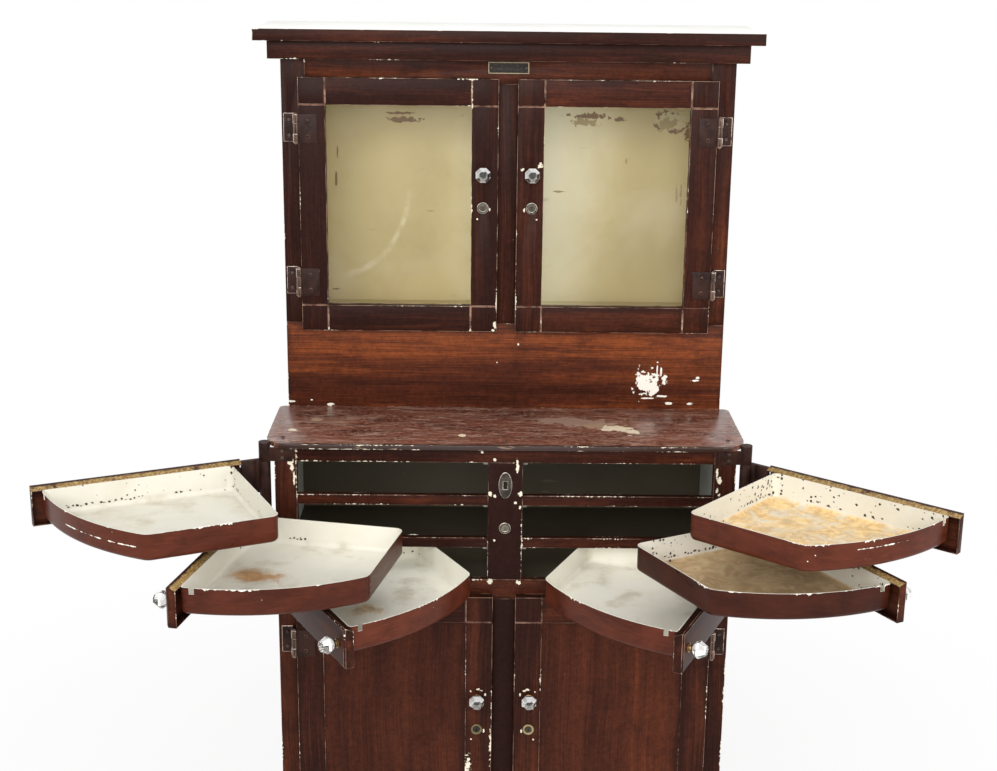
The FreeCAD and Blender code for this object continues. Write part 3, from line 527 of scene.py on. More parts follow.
def base_marks():
    """The base's chips."""
    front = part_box("base_front_frame")[0].y
    return [upright_mark(x, z, front, wide, tall, 0.85, 210.0) for x, z, wide, tall in BASE_CHIPS]


def hutch_marks():
    """The splash panel's chips."""
    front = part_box("hutch_front_frame")[0].y
    return [upright_mark(x, z, front, *shape, SPLASH_PALE) for x, z, *shape in HUTCH_CHIPS]


def back_marks():
    """The stains inside the upper cupboard."""
    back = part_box("hutch_wall_panels")[1].y - BACK_PANEL
    return [upright_mark(x, z, back, *shape) for x, z, *shape in BACK_STAINS]


def marked(g, base, marks):
    """A colour with a list of ragged marks laid over it: the colour and all marks as one mask."""
    every = 0.0
    for mark in marks:
        mask = g.group(spot_group(), Place=mark.place, Size=mark.size, Ragged=mark.ragged, Scale=mark.scale,
                       Bar=mark.bar)["Mask"]
        base = g.mix(mask, base, mark.tint)
        every = g.most(every, mask) if isinstance(every, Value) else mask
    return base, every


# Materials

class Finish(Graph):
    """A material's nodes round its Principled shader."""

    def __init__(self, name):
        self.material = bpy.data.materials.new(name)
        self.material.use_nodes = True
        super().__init__(self.material.node_tree)
        self.shader = self.tree.nodes["Principled BSDF"]

    def set(self, **sockets):
        """Sets or links the shader's sockets, given by their names in lower case."""
        for key, value in sockets.items():
            self.put(self.shader.inputs[key.replace("_", " ").title().replace("Ior", "IOR")], value)

    def bump(self, height, distance):
        """Raises the surface by a height."""
        self.set(normal=self.add("ShaderNodeBump", {"Height": height, "Distance": distance}))


FINISHES = {}


def finish(name, make, **looks):
    """A material of this cabinet by name, made the first time that it is asked for."""
    if name not in FINISHES:
        g = Finish(name)
        make(g, **looks)
        FINISHES[name] = g.material
    return FINISHES[name]


def grained_paint(g, shift, reach=0.003, amount=0.5, marks=(), rub=0.6, contrast=1.0):
    """Mahogany-grained paint over a cream ground."""
    c = colours()
    grain = g.group(grain_group(), Dark=c.grain_dark, Middle=c.grain_middle, Light=c.grain_light,
                    Shift=shift, Contrast=contrast)
    edge = g.group(chip_group(), Reach=reach, Amount=amount)
    lost = g.most(edge["Chips"], g.specks(85.0, 0.02, 0.28))
    paint = g.mix(edge["Grime"] * 0.62, grain["Colour"], c.grain_dark)
    paint = g.mix(edge["Rubbed"] * rub, paint, c.rubbed)
    paint, every = marked(g, g.mix(lost, paint, c.ground), marks)
    lost = g.most(lost, every)
    g.set(specular_ior_level=0.07, base_color=paint,
          roughness=g.blend(lost, 0.24 + grain["Streaks"] * 0.22, 0.62))
    g.bump(grain["Streaks"] * 0.30 - lost, 0.00025)


def worktop_paint(g):
    """Glossy red-brown paint with a pale bloom, scratches, a chipped front edge and painted shade along that
    edge.
    """
    c = colours()
    base = tuple(c.worktop)
    place = g.place()
    mottle = g.noise(place * (9.0, 30.0, 30.0), 1.0, 6.0, 0.70, 1.4)
    fine = g.noise(place * (110.0, 240.0, 240.0), 1.0, 4.0, 0.70)
    swirl = g.noise(place * (10.0, 52.0, 52.0), 1.0, 8.0, 0.80, 2.0)
    paint = g.mix(mottle.band(0.36, 0.58), g.sum("MULTIPLY", base, (0.34, 0.27, 0.26)), base)
    paint = g.mix(fine.band(0.46, 0.66) * 0.65, paint, (0.38, 0.19, 0.14))
    paint = g.mix(swirl.band(0.49, 0.63) * 0.72, paint, c.worktop_pale)
    # Painted shade: the front edge is painted nearly black, fading out over the first millimetres of the
    # top.
    from_front = g.split(g.attribute("low"))[1]
    paint = g.mix(from_front.band(0.0085, 0.0030), paint, (0.030, 0.0125, 0.0090))
    paint, patch = marked(g, paint, worktop_marks())
    paint = g.mix(g.scratches((26.0, 170.0, 170.0), 0.9) * 0.55, paint, TAN)
    edge = g.group(chip_group(), Reach=0.0030, Amount=0.60, Size=150.0)
    lost = g.most(edge["Chips"], g.specks(95.0, 0.06, 0.30))
    g.set(specular_ior_level=0.5, base_color=g.mix(lost, paint, c.ground),
          roughness=g.blend(g.most(lost, patch), 0.16 + mottle * 0.28, 0.6))
    g.bump(mottle * 0.8 - lost * 0.8, 0.0007)


# Middle and half width of the painted pool of light on the upper cupboard's back
STRIP_X, STRIP_REACH = 0.075, 0.17
# Middle, reach, half width and fade of the curved painted reflection on the upper cupboard's back
REFLECTION_X, REFLECTION_Z = -0.284, 1.215
REFLECTION_REACH_X, REFLECTION_REACH_Z = 0.133, 0.171
REFLECTION_HALF_WIDTH = (0.009, 0.0018)
REFLECTION_FADE_X, REFLECTION_FADE_Z = (REFLECTION_X - 0.01, REFLECTION_X + 0.05), (REFLECTION_Z, REFLECTION_Z - 0.06)


def painted_light_strip(g, paint, place, cloud):
    """A painted pool of light: an upright strip, paler and less yellow, with soft sides."""
    away = abs(g.split(place)[0] - STRIP_X) + (cloud - 0.5) * 0.10
    return g.mix(away.band(STRIP_REACH, 0.0), paint, (0.86, 0.80, 0.55))


def curved_painted_reflection(g, paint, place, cloud):
    """A painted reflection: one long curved pale streak, the lower right quarter of an oval."""
    x, _, z = g.split(place)
    ring = g.length(g.join((x - REFLECTION_X) / REFLECTION_REACH_X, (z - REFLECTION_Z) / REFLECTION_REACH_Z, 0.0))
    off = abs(ring - 0.98) * REFLECTION_REACH_Z
    reflection_mask = x.band(*REFLECTION_FADE_X) * z.band(*REFLECTION_FADE_Z) * off.band(*REFLECTION_HALF_WIDTH)
    reflection_mask = reflection_mask * g.noise(place, 40.0, 4.0, 0.6).band(0.25, 0.65)
    return g.mix(reflection_mask * 0.55, paint, (0.80, 0.74, 0.50))


def inside_paint(g, base, dirt=0.5, over=(), marks=()):
    """Aged flat paint with clouds of dirt, scratches and stains, and the painted light of any layers given
    in over.
    """
    place = g.place()
    cloud = g.noise(place, 6.0, 5.0, 0.62, 0.4)
    paint = g.mix(cloud.band(0.42, 0.70) * dirt, base, g.sum("MULTIPLY", base, (0.78, 0.75, 0.66)))
    for layer in over:
        paint = layer(g, paint, place, cloud)
    paint = g.mix(g.scratches((12.0, 200.0, 120.0), 0.55) * 0.30, paint, (0.30, 0.24, 0.13))
    paint = g.mix(g.specks(70.0, 0.04, 0.28) * 0.6, paint, (0.16, 0.10, 0.06))
    g.set(specular_ior_level=0.2, base_color=marked(g, paint, marks)[0], roughness=0.42 + cloud * 0.2)
    g.bump(cloud, 0.0003)


class TrayLook(NamedTuple):
    """Looks of one tray; a patch is its middle and half sizes, a scrape its two ends and its level. White
    scales the inside's brightness and shade the outside's: painted light and shade for how each tray is lit.
    """
    white: float
    stain: tuple
    cover: float
    scale: float
    wall_specks: float
    floor_specks: float
    seed: float
    shade: float
    patch: tuple = None
    scrape: tuple = None


# white and shade are painted light and shade: the lower trays' enamel is brightened, the right middle tray's
# outside is darkened
TRAY_LOOKS = {
    "left_top_tray": TrayLook(
        white=0.88, stain=(0.42, 0.36, 0.26), cover=-0.14, scale=18.0, wall_specks=0.85, floor_specks=0.0,
        seed=0.0, shade=0.95, scrape=(0.105, 0.238, 0.0215)),
    "left_middle_tray": TrayLook(
        white=0.95, stain=(0.40, 0.195, 0.065), cover=-0.10, scale=13.0, wall_specks=0.50, floor_specks=0.02,
        seed=1.7, shade=0.80, patch=((0.195, 0.045, 0.0), (0.036, 0.060, 0.03))),
    "left_bottom_tray": TrayLook(
        white=1.22, stain=(0.50, 0.34, 0.18), cover=-0.12, scale=15.0, wall_specks=0.80, floor_specks=0.02,
        seed=3.1, shade=1.10, patch=((0.225, 0.080, 0.0), (0.030, 0.036, 0.03))),
    "right_top_tray": TrayLook(
        white=0.88, stain=(0.62, 0.385, 0.145), cover=0.33, scale=16.0, wall_specks=1.45, floor_specks=0.0,
        seed=4.3, shade=1.0, scrape=(0.105, 0.185, 0.0310)),
    "right_middle_tray": TrayLook(
        white=0.98, stain=(0.44, 0.275, 0.120), cover=0.50, scale=11.0, wall_specks=1.40, floor_specks=0.03,
        seed=5.9, shade=0.48),
    "right_bottom_tray": TrayLook(
        white=1.16, stain=(0.50, 0.44, 0.33), cover=-0.14, scale=17.0, wall_specks=0.62, floor_specks=0.0,
        seed=7.7, shade=0.95)}

# Heights above the underside of a pan and places along its u and v: where an effect starts, and is full
FLOOR_RISE = (0.007, 0.0025)
FOOT_RISE = (0.016, 0.004)
WALL_RISE = (0.006, 0.010)
FRONT_WALL_V = (0.12, 0.02)
SIDE_WALL_U = (0.075, 0.066)
SPECK_ROW_RISE, SPECK_ROW_HALF = 0.0105, (0.0032, 0.0015)
RIM_RISE, RIM_CHIP, RIM_WORN, RIM_STEP = 0.0430, 0.0045, 0.0004, 0.0004
SCRAPE_HALF, SCRAPE_END, SCRAPE_U = 0.0013, 0.004, (0.15, 0.16)
ENAMEL_DULL, ENAMEL_CHIP = (0.70, 0.655, 0.52), (0.035, 0.024, 0.017)
STAIN_LIGHT_GAINS = (1.45, 1.65, 2.0)


def enamel_inside(g, look):
    """White enamel of one tray: stains on the floor, dark chips on the walls and along their foot."""
    place = g.place() + (look.seed, look.seed * 2.0, 0.0)
    tray = g.attribute("tray")
    u, v, rise = g.split(tray)
    cloud = g.noise(place, 9.0, 5.0, 0.6, 0.5)
    # look.white is painted light: it brightens or darkens this tray's enamel for how it is lit
    base = tuple(min(0.97, look.white * value) for value in colours().enamel)
    enamel = g.mix(cloud.band(0.40, 0.72) * 0.5, base, tuple(look.white * value for value in ENAMEL_DULL))
    floor = rise.band(*FLOOR_RISE)
    blotch = g.noise(place, look.scale, 6.0, 0.68, 0.9)
    stained = (blotch + look.cover).band(0.60, 0.92) * floor
    if look.patch:
        at, size = look.patch
        away = g.length((tray - at) / size) + (blotch - 0.5) * 2.2
        stained = g.most(stained, away.band(1.0, 0.3) * floor)
    light = tuple(min(1.0, value * gain) for value, gain in zip(look.stain, STAIN_LIGHT_GAINS))
    rings = g.noise(place, look.scale * 3.0, 5.0, 0.66, 1.2).band(0.36, 0.66)
    enamel = g.mix(stained * 0.95, enamel, g.mix(rings, look.stain, light))
    foot = rise.band(*FOOT_RISE) * g.noise(place, 16.0, 4.0).band(0.50, 0.72)
    enamel = g.mix(foot * 0.40, enamel, (0.36, 0.27, 0.15))
    walls = rise.band(*WALL_RISE) * v.band(*FRONT_WALL_V) + u.band(*SIDE_WALL_U) * 0.9
    row = abs(rise - SPECK_ROW_RISE).band(*SPECK_ROW_HALF) * g.noise(place, 22.0, 2.0).band(0.44, 0.56)
    odds = walls * (row + 0.34) * look.wall_specks - 0.10 + floor * look.floor_specks
    dots = g.specks(165.0, odds, 0.62)
    g.set(specular_ior_level=0.4, coat_weight=0.10, base_color=g.mix(dots, enamel, ENAMEL_CHIP),
          roughness=g.blend(g.most(dots, stained), 0.22, 0.55))
    g.bump(cloud * 0.3 - dots, 0.0004)


def enamel_outside(g, look):
    """Red-brown gloss on the outside of a tray, worn to white at the rim, with a scraped line on its arc."""
    c = colours()
    place = g.place()
    u, v, rise = g.split(g.attribute("tray"))
    mottle = g.noise(place * (14.0, 14.0, 26.0), 1.0, 5.0, 0.62, 0.6)
    fine = g.noise(place * (40.0, 40.0, 300.0), 1.0, 3.0, 0.6)
    # look.shade is painted shade: it darkens or brightens this tray's outside for how it is lit
    base = tuple(look.shade * value for value in c.enamel_back)
    paint = g.mix(mottle.band(0.34, 0.66), g.sum("MULTIPLY", base, (0.62, 0.60, 0.62)), base)
    paint = g.mix(fine.band(0.5, 0.75) * 0.22, paint, tuple(2.2 * value for value in base))
    ragged = g.noise(place, 170.0, 3.0, 0.6).band(0.42, 0.72)
    width = g.noise(place, 15.0, 3.0).band(0.54, 0.68) * RIM_CHIP * ragged
    lost = (width + RIM_WORN - (RIM_RISE - rise)).band(0.0, RIM_STEP)
    if look.scrape:
        start, end, level = look.scrape
        broken = g.noise(place * (90.0, 90.0, 40.0), 1.0, 3.0, 0.6).band(0.40, 0.62)
        scrape = (broken * SCRAPE_HALF - abs(rise - level)).band(0.0, PAINT_STEP)
        scrape = scrape * v.band(start - SCRAPE_END, start) * v.band(end + SCRAPE_END, end)
        lost = g.most(lost, scrape * u.band(*SCRAPE_U))
    lost = g.most(lost, g.specks(90.0, 0.03, 0.30))
    g.set(specular_ior_level=0.14, base_color=g.mix(lost, paint, c.enamel),
          roughness=g.blend(lost, 0.18 + mottle * 0.24, 0.55))
    g.bump(mottle * 0.4 - lost, 0.0003)


# Metals: a colour is one of the settings, by name, or a shade of its own
METALS = {
    "hinge_paint": dict(base="hinge", bare="steel", metallic=0.0, rub=1.0, dull=0.40, shine=0.14,
                        pitted=0.07),
    # Lighter worn metal on hinge barrels and rounded edges: partly real wear, partly a painted highlight.
    "hinge_rubbed": dict(base=(0.15, 0.085, 0.060), bare="steel", metallic=0.3, rub=1.0, dull=0.40,
                         shine=0.4, pitted=0.6),
    "strap_paint": dict(base="hinge", bare=(0.24, 0.13, 0.085), metallic=0.0, rub=0.9, shine=0.14),
    "lock_bronze": dict(base=(0.052, 0.040, 0.030), bare="nickel", metallic=0.5, rub=0.7, dull=0.40),
    "lock_brass": dict(base="lock_brass", bare=(0.12, 0.08, 0.04), metallic=0.9, rub=0.5, dull=0.38),
    "plug_bronze": dict(base=(0.075, 0.058, 0.042), bare="nickel", metallic=0.6, rub=0.7, dull=0.38),
    "plug_nickel": dict(base=(0.20, 0.165, 0.125), bare="nickel", metallic=0.7, rub=0.8, dull=0.38),
    "plate_nickel": dict(base=(0.060, 0.048, 0.037), bare="nickel", metallic=0.5, rub=0.9, dull=0.42),
    "ferrule_brass": dict(base="brass", bare=(0.10, 0.06, 0.03), metallic=1.0, rub=0.6, dull=0.34),
    "dull_steel": dict(base=(0.085, 0.055, 0.040), bare="steel", metallic=0.4, rub=0.7),
    "spring_steel": dict(base=(0.42, 0.40, 0.34), bare="steel", metallic=0.6, rub=0.5)}


def own_or_setting(tint):
    """A metal's own colour, or the setting that it names."""
    return tuple(getattr(colours(), tint)) if isinstance(tint, str) else tint


def worn_metal(g, base, bare, metallic, rub, dull=0.45, shine=0.5, pitted=0.22):
    """Painted or plated metal, rubbed bare on its edges; on the hinges the bare edges are partly a painted
    highlight.
    """
    base, bare = own_or_setting(base), own_or_setting(bare)
    place = g.place()
    mottle = g.noise(place, 190.0, 4.0, 0.62, 0.4)
    cloud = g.noise(place, 36.0, 4.0, 0.6)
    paint = g.mix(cloud.band(0.36, 0.64), g.sum("MULTIPLY", base, (0.42, 0.42, 0.42)), base)
    worn = g.noise(place, 130.0, 3.0, 0.6).band(0.34, 0.52)
    shown = g.most(g.attribute("rubbed", "Fac") * worn * rub, mottle.band(0.62, 0.74) * (pitted * rub))
    g.set(specular_ior_level=shine, base_color=g.mix(shown, paint, bare),
          metallic=g.blend(shown, metallic, 0.9), roughness=dull - 0.1 + cloud * 0.25)
    g.bump(mottle, 0.0002)


def metal(name):
    """One of the cabinet's metals."""
    return finish(name, worn_metal, **METALS[name])


def flange_gold(g):
    """Brown paint worn to a brassy line along the inner side of a tray front's top."""
    place = g.place()
    patchy = g.noise(place, 55.0, 5.0, 0.66)
    fine = g.noise(place, 260.0, 3.0, 0.6)
    reach = g.split(g.attribute("low"))[1] + (patchy - 0.5) * 0.010
    shown = reach.band(0.0055, 0.0080) * patchy.band(0.30, 0.46)
    gold = g.mix(fine.band(0.40, 0.66), (0.20, 0.115, 0.040), (0.42, 0.29, 0.115))
    g.set(specular_ior_level=0.2, base_color=g.mix(shown, colours().hinge, gold),
          roughness=0.35 + fine * 0.25)
    g.bump(fine, 0.0002)


def nameplate(g):
    """A blank black plate with a worn brass border."""
    inset, uneven, border_half = 0.0016, 0.0012, (0.0010, 0.0006)
    x, _, z = g.split(g.least(g.attribute("low"), g.attribute("high")))
    wear = g.noise(g.place(), 260.0, 4.0, 0.65)
    border = (abs(g.least(x, z) - inset) + (wear - 0.5) * uneven).band(*border_half)
    field = g.mix(wear.band(0.55, 0.75), (0.022, 0.019, 0.016), (0.10, 0.075, 0.05))
    g.set(specular_ior_level=0.12, base_color=g.mix(border, field, (0.36, 0.285, 0.180)),
          roughness=0.3 + wear * 0.3)
    g.bump(border, 0.0003)


def clear_pane(g):
    """Flat glass, thin enough to let the light through, with a faint haze."""
    haze = g.noise(g.place(), 6.0, 5.0, 0.6, 0.6)
    g.set(base_color=(0.80, 0.80, 0.70), specular_ior_level=0.4, alpha=0.02 + haze.band(0.45, 0.8) * 0.04,
          roughness=0.04 + haze * 0.05)


def knob_glass(g, clear):
    """Cut glass with dust in the cuts: clear facets show what is behind, bright ones are painted pale, a
    painted reflection of light from inside the glass.
    """
    dust = g.noise(g.place(), 260.0, 3.0, 0.6)
    bright = g.attribute("facet", "Fac").band(0.22, 0.42)
    g.set(ior=1.5, transmission_weight=clear, roughness=dust.band(0.5, 0.8) * 0.12,
          base_color=g.mix(bright, (0.42, 0.38, 0.34), (0.98, 0.98, 0.97)))
    g.bump(dust, 0.00004)


def seen(g):
    """1 where the camera looks, straight or by way of metal and glass."""
    light = g.values(g.node("ShaderNodeLightPath"))
    return g.most(light["Is Camera Ray"], g.most(light["Is Glossy Ray"], light["Is Transmission Ray"]))


def studio_floor(g, pale):
    """A pale floor that shows white to the camera and keeps the object's shadow."""
    tone = g.noise(g.place(), 1.5, 3.0)
    g.set(roughness=0.9, base_color=g.mix(tone, pale, tuple(0.97 * value for value in pale)))
    share = g.blend(g.length(g.place()).band(0.7, 1.8), 0.80, 1.0)
    white = g.add("ShaderNodeEmission", {"Color": (1.0, 1.0, 1.0), "Strength": 1.0})
    both = g.add("ShaderNodeMixShader", {0: seen(g) * share, 1: Value(g, g.shader.outputs[0]), 2: white})
    g.put(g.tree.nodes["Material Output"].inputs["Surface"], both)


# Meshes taken from the CAD nodes

WELD_DISTANCE = 1e-6
FLAT_ANGLE = math.radians(0.6)
SHARP_ANGLE = math.radians(32)
SLIGHT_ANGLE = math.radians(0.5)
SQUARE = 0.985
GRAIN_STEP = (0.7, 0.13, 0.0)


def connected(items, near):
    """Groups of items that hang together, in the order of their first items."""
    seen_items = set()
    found = []
    for start in items:
        if start in seen_items:
            continue
        stack, members = [start], []
        seen_items.add(start)
        while stack:
            item = stack.pop()
            members.append(item)
            for other in near(item):
                if other not in seen_items:
                    seen_items.add(other)
                    stack.append(other)
        found.append(members)
    return found


def islands(bm):
    """The separate solids of a mesh, as lists of vertices."""
    return connected(bm.verts, lambda vert: [edge.other_vert(vert) for edge in vert.link_edges])


def facing_pairs(start, end, sides):
    """Pairs of faces at one edge that bound the same solid: those with the least material between them."""
    along = (end - start).normalized()
    across = along.orthogonal().normalized()
    up = along.cross(across)
    angles = []
    for face, forward in sides:
        into = face.normal.cross(along) * (1 if forward else -1)
        angles.append(math.atan2(into.dot(up), into.dot(across)))
    spans = []
    for first, (one, forward) in zip(angles, sides):
        for second, (other, backward) in zip(angles, sides):
            if forward and not backward:
                span = (first - second) % math.tau
                spans.append((span if span > SLIGHT_ANGLE else math.tau, one, other))
    pairs, used = [], set()
    for _, one, other in sorted(spans, key=lambda item: item[0]):
        if one not in used and other not in used:
            used.update((one, other))
            pairs.append((one, other))
    return pairs


def solids(bm, same):
    """The faces of each solid, also where solids touch along their edges."""
    edges = {}
    for face in bm.faces:
        for loop in face.loops:
            start, end = (same.get(vert, vert) for vert in (loop.vert, loop.link_loop_next.vert))
            forward = start.index < end.index
            ends = (start, end) if forward else (end, start)
            edges.setdefault(ends, []).append((face, forward))
    beside = {face: [] for face in bm.faces}
    for (start, end), sides in edges.items():
        for one, other in facing_pairs(start.co, end.co, sides):
            beside[one].append(other)
            beside[other].append(one)
    return connected(bm.faces, lambda face: beside[face])


def welded(node):
    """A copy of a CAD node's mesh with each solid's corners joined and its flat faces whole."""
    source = bmesh.new()
    source.from_mesh(NODES[node].data)
    source.normal_update()
    source.verts.index_update()
    same = bmesh.ops.find_doubles(source, verts=source.verts, dist=WELD_DISTANCE)["targetmap"]
    bm = bmesh.new()
    for members in solids(source, same):
        corners = {}
        for face in members:
            points = [same.get(vert, vert) for vert in face.verts]
            if len(set(points)) == len(points):
                bm.faces.new([corners.get(point) or corners.setdefault(point, bm.verts.new(point.co))
                              for point in points])
    source.free()
    bmesh.ops.dissolve_limit(bm, angle_limit=FLAT_ANGLE, verts=bm.verts, edges=bm.edges)
    bm.normal_update()
    return bm


def soften(bm, width):
    """Rounds the sharp outer edges of each solid and notes the new faces, where paint rubs off."""
    rubbed = bm.faces.layers.float.new("rubbed")
    outer = []
    for members in islands(bm) if width else ():
        edges = {edge: None for vert in members for edge in vert.link_edges}
        outer.append([edge for edge in edges if edge.is_manifold and edge.is_convex
                      and edge.calc_face_angle() > SHARP_ANGLE])
    for sharp in outer:
        made = bmesh.ops.bevel(bm, geom=sharp, offset=width, offset_type="OFFSET", segments=2, profile=0.5,
                               affect="EDGES", clamp_overlap=True)
        for face in made["faces"]:
            face[rubbed] = 1.0
    if width:
        bmesh.ops.dissolve_degenerate(bm, dist=WELD_DISTANCE, edges=bm.edges)


def mark_members(bm, local=Vector, tone=lambda low, high: 0.0):
    """Gives each solid its distances from its own box's sides, coordinates along its length and a tone."""
    vectors = bm.verts.layers.float_vector
    low_layer, high_layer, grain_layer = (vectors.new(name) for name in ("low", "high", "grain"))
    tone_layer = bm.verts.layers.float.new("tone")
    for number, members in enumerate(islands(bm)):
        points = [local(vert.co) for vert in members]
        low, high = extent(points)
        long_way = max(range(3), key=lambda i: high[i] - low[i])
        order = [long_way] + [i for i in range(3) if i != long_way]
        offset = Vector([number * step for step in GRAIN_STEP])
        shade = tone(low, high)
        for vert, point in zip(members, points):
            vert[low_layer] = point - low
            vert[high_layer] = high - point
            vert[grain_layer] = Vector([point[i] for i in order]) + offset
            vert[tone_layer] = shade


def finish_mesh(bm, name):
    """A mesh from a BMesh, smooth over its curves and sharp at its edges, its faces in a fixed order."""
    count = len(bm.verts)
    bm.verts.index_update()

    def order(face):
        first, second, third = sorted(vert.index for vert in face.verts)[:3]
        return (first * count + second) * count + third

    bm.faces.sort(key=order)
    mesh = bpy.data.meshes.new(name)
    bm.to_mesh(mesh)
    bm.free()
    mesh.polygons.foreach_set("use_smooth", np.ones(len(mesh.polygons), bool))
    mesh.set_sharp_from_angle(angle=SHARP_ANGLE)
    mesh.update()
    return mesh


def add_piece(name, mesh, materials, body, nodes=()):
    """A finished piece: its object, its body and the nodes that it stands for."""
    for material in materials:
        mesh.materials.append(material)
    piece = bpy.data.objects.new(name, mesh)
    bpy.context.scene.collection.objects.link(piece)
    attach(piece, body)
    if nodes:
        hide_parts(*nodes)
    return piece


def dress(node, body, slot, materials, width, choose=None, **marking):
    """Replaces a node with a softened copy, each face in the material that choose picks for it."""
    bm = welded(node)
    soften(bm, width)
    mark_members(bm, **marking)
    if choose:
        bm.normal_update()
        for face in bm.faces:
            face.material_index = choose(face.calc_center_median(), face.normal)
    add_piece(node, finish_mesh(bm, node), materials, body, [node])


def slanting(normal):
    """1 for a face that isn't square to the axes, such as a round barrel or a rounded edge."""
    return int(max(abs(value) for value in normal) < SQUARE)


# Pieces that repeat, set out by Geometry Nodes

SCREW_SIDES, SCREW_RINGS = 24, 3
SLOT_OVERRUN, SLOT_DOUBLE = 3.0, 2.0
# Rings of a knob's glass and their levels, as shares of the glass's length
KNOB_RINGS = {"Neck": 0.0, "Shoulder": 0.14, "Belly low": 0.34, "Belly high": 0.52, "Crown": 0.88,
              "Table": 1.0}
KNOB_SHOULDER_SHARE, KNOB_CROWN_SHARE = 0.55, 1.14
KNOB_SEED = 5
# Painted glint levels: the flat front's level, and the level above which a facet takes the bright finish
KNOB_TABLE_LIGHT = 0.30
KNOB_BRIGHT = 0.32
KNOB_WELD = 1e-5


def on_points(g, part, chosen=()):
    """Ends a tree: one part on every point, turned by the turn attribute, real and in its materials."""
    turn = g.add("GeometryNodeInputNamedAttribute", {"Name": "turn"}, data_type="FLOAT_VECTOR")
    rotation = g.add("FunctionNodeEulerToRotation", {0: turn})
    copies = g.add("GeometryNodeInstanceOnPoints", {"Points": g.enter["Geometry"], "Instance": part,
                                                    "Rotation": rotation})
    made = g.add("GeometryNodeRealizeInstances", {0: copies})
    made = g.add("GeometryNodeSetMaterial", {"Geometry": made, "Material": g.enter["Finish"]})
    for faces, material in chosen:
        made = g.add("GeometryNodeSetMaterial", {"Geometry": made, "Selection": faces, "Material": material})
    return g.give(Geometry=made)


def screw_tree():
    """Slotted screw heads."""
    g = Group("GeometryNodeTree", "Slotted screw heads",
              {"Geometry": GEOMETRY, "Head radius": FLOAT, "Crown radius": FLOAT, "Head height": FLOAT,
               "Slot width": FLOAT, "Slot depth": FLOAT, "Finish": MATERIAL}, {"Geometry": GEOMETRY})
    radius, height = g.enter["Head radius"], g.enter["Head height"]
    cone = {"Vertices": SCREW_SIDES, "Side Segments": SCREW_RINGS, "Radius Top": g.enter["Crown radius"],
            "Radius Bottom": radius, "Depth": height}
    head = g.add("GeometryNodeMeshCone", cone, "Mesh")
    size = g.join(radius * SLOT_OVERRUN, g.enter["Slot width"], g.enter["Slot depth"] * SLOT_DOUBLE)
    slot = g.add("GeometryNodeMeshCube", {"Size": size}, "Mesh")
    slot = g.add("GeometryNodeTransform", {"Geometry": slot, "Translation": g.join(0.0, 0.0, height)})
    return on_points(g, g.add("GeometryNodeMeshBoolean", {"Mesh 1": head, "Mesh 2": slot}, "Mesh",
                              operation="DIFFERENCE"))


def knob_tree():
    """Faceted glass knobs: rings of a many-sided outline drawn out one after another."""
    rings = {f"{ring} {measure}": FLOAT for ring in KNOB_RINGS for measure in ("radius", "level")}
    g = Group("GeometryNodeTree", "Faceted glass knobs",
              {"Geometry": GEOMETRY, "Sides": INTEGER, "Start": FLOAT, **rings, "Finish": MATERIAL,
               "Bright finish": MATERIAL}, {"Geometry": GEOMETRY})
    circle = {"Vertices": g.enter["Sides"], "Radius": g.enter["Neck radius"]}
    outline = g.add("GeometryNodeMeshCircle", circle, fill_type="NGON")
    solid, top = outline, True
    for before, after in zip(list(KNOB_RINGS), list(KNOB_RINGS)[1:]):
        rise = g.enter[after + " level"] - g.enter[before + " level"]
        spread = g.enter[after + " radius"] / g.enter[before + " radius"]
        draw = {"Mesh": solid, "Selection": top, "Offset Scale": rise, "Individual": False}
        drawn = g.values(g.node("GeometryNodeExtrudeMesh", draw, mode="FACES"))
        top = drawn["Top"]
        widen = {"Geometry": drawn["Mesh"], "Selection": top, "Scale": spread}
        solid = g.add("GeometryNodeScaleElements", widen)
    shell = g.node("GeometryNodeJoinGeometry")
    for part in (solid, g.add("GeometryNodeFlipFaces", {0: outline})):
        g.put(shell.inputs[0], part)
    part = Value(g, shell.outputs[0])
    part = g.add("GeometryNodeMergeByDistance", {"Geometry": part, "Distance": KNOB_WELD})
    lift = g.join(0.0, 0.0, g.enter["Start"])
    part = g.add("GeometryNodeTransform", {"Geometry": part, "Translation": lift})
    # Each facet gets a random painted glint level; the table gets a fixed one.
    light = g.add("FunctionNodeRandomValue", {"Seed": KNOB_SEED}, 1)
    light = g.add("GeometryNodeSwitch", {"Switch": top, "False": light, "True": KNOB_TABLE_LIGHT},
                  input_type="FLOAT")
    part = g.add("GeometryNodeStoreNamedAttribute", {"Geometry": part, "Name": "facet", "Value": light},
                 domain="FACE")
    facet = g.add("GeometryNodeInputNamedAttribute", {"Name": "facet"}, data_type="FLOAT")
    return on_points(g, part, [(g.sum("GREATER_THAN", facet, KNOB_BRIGHT), g.enter["Bright finish"])])


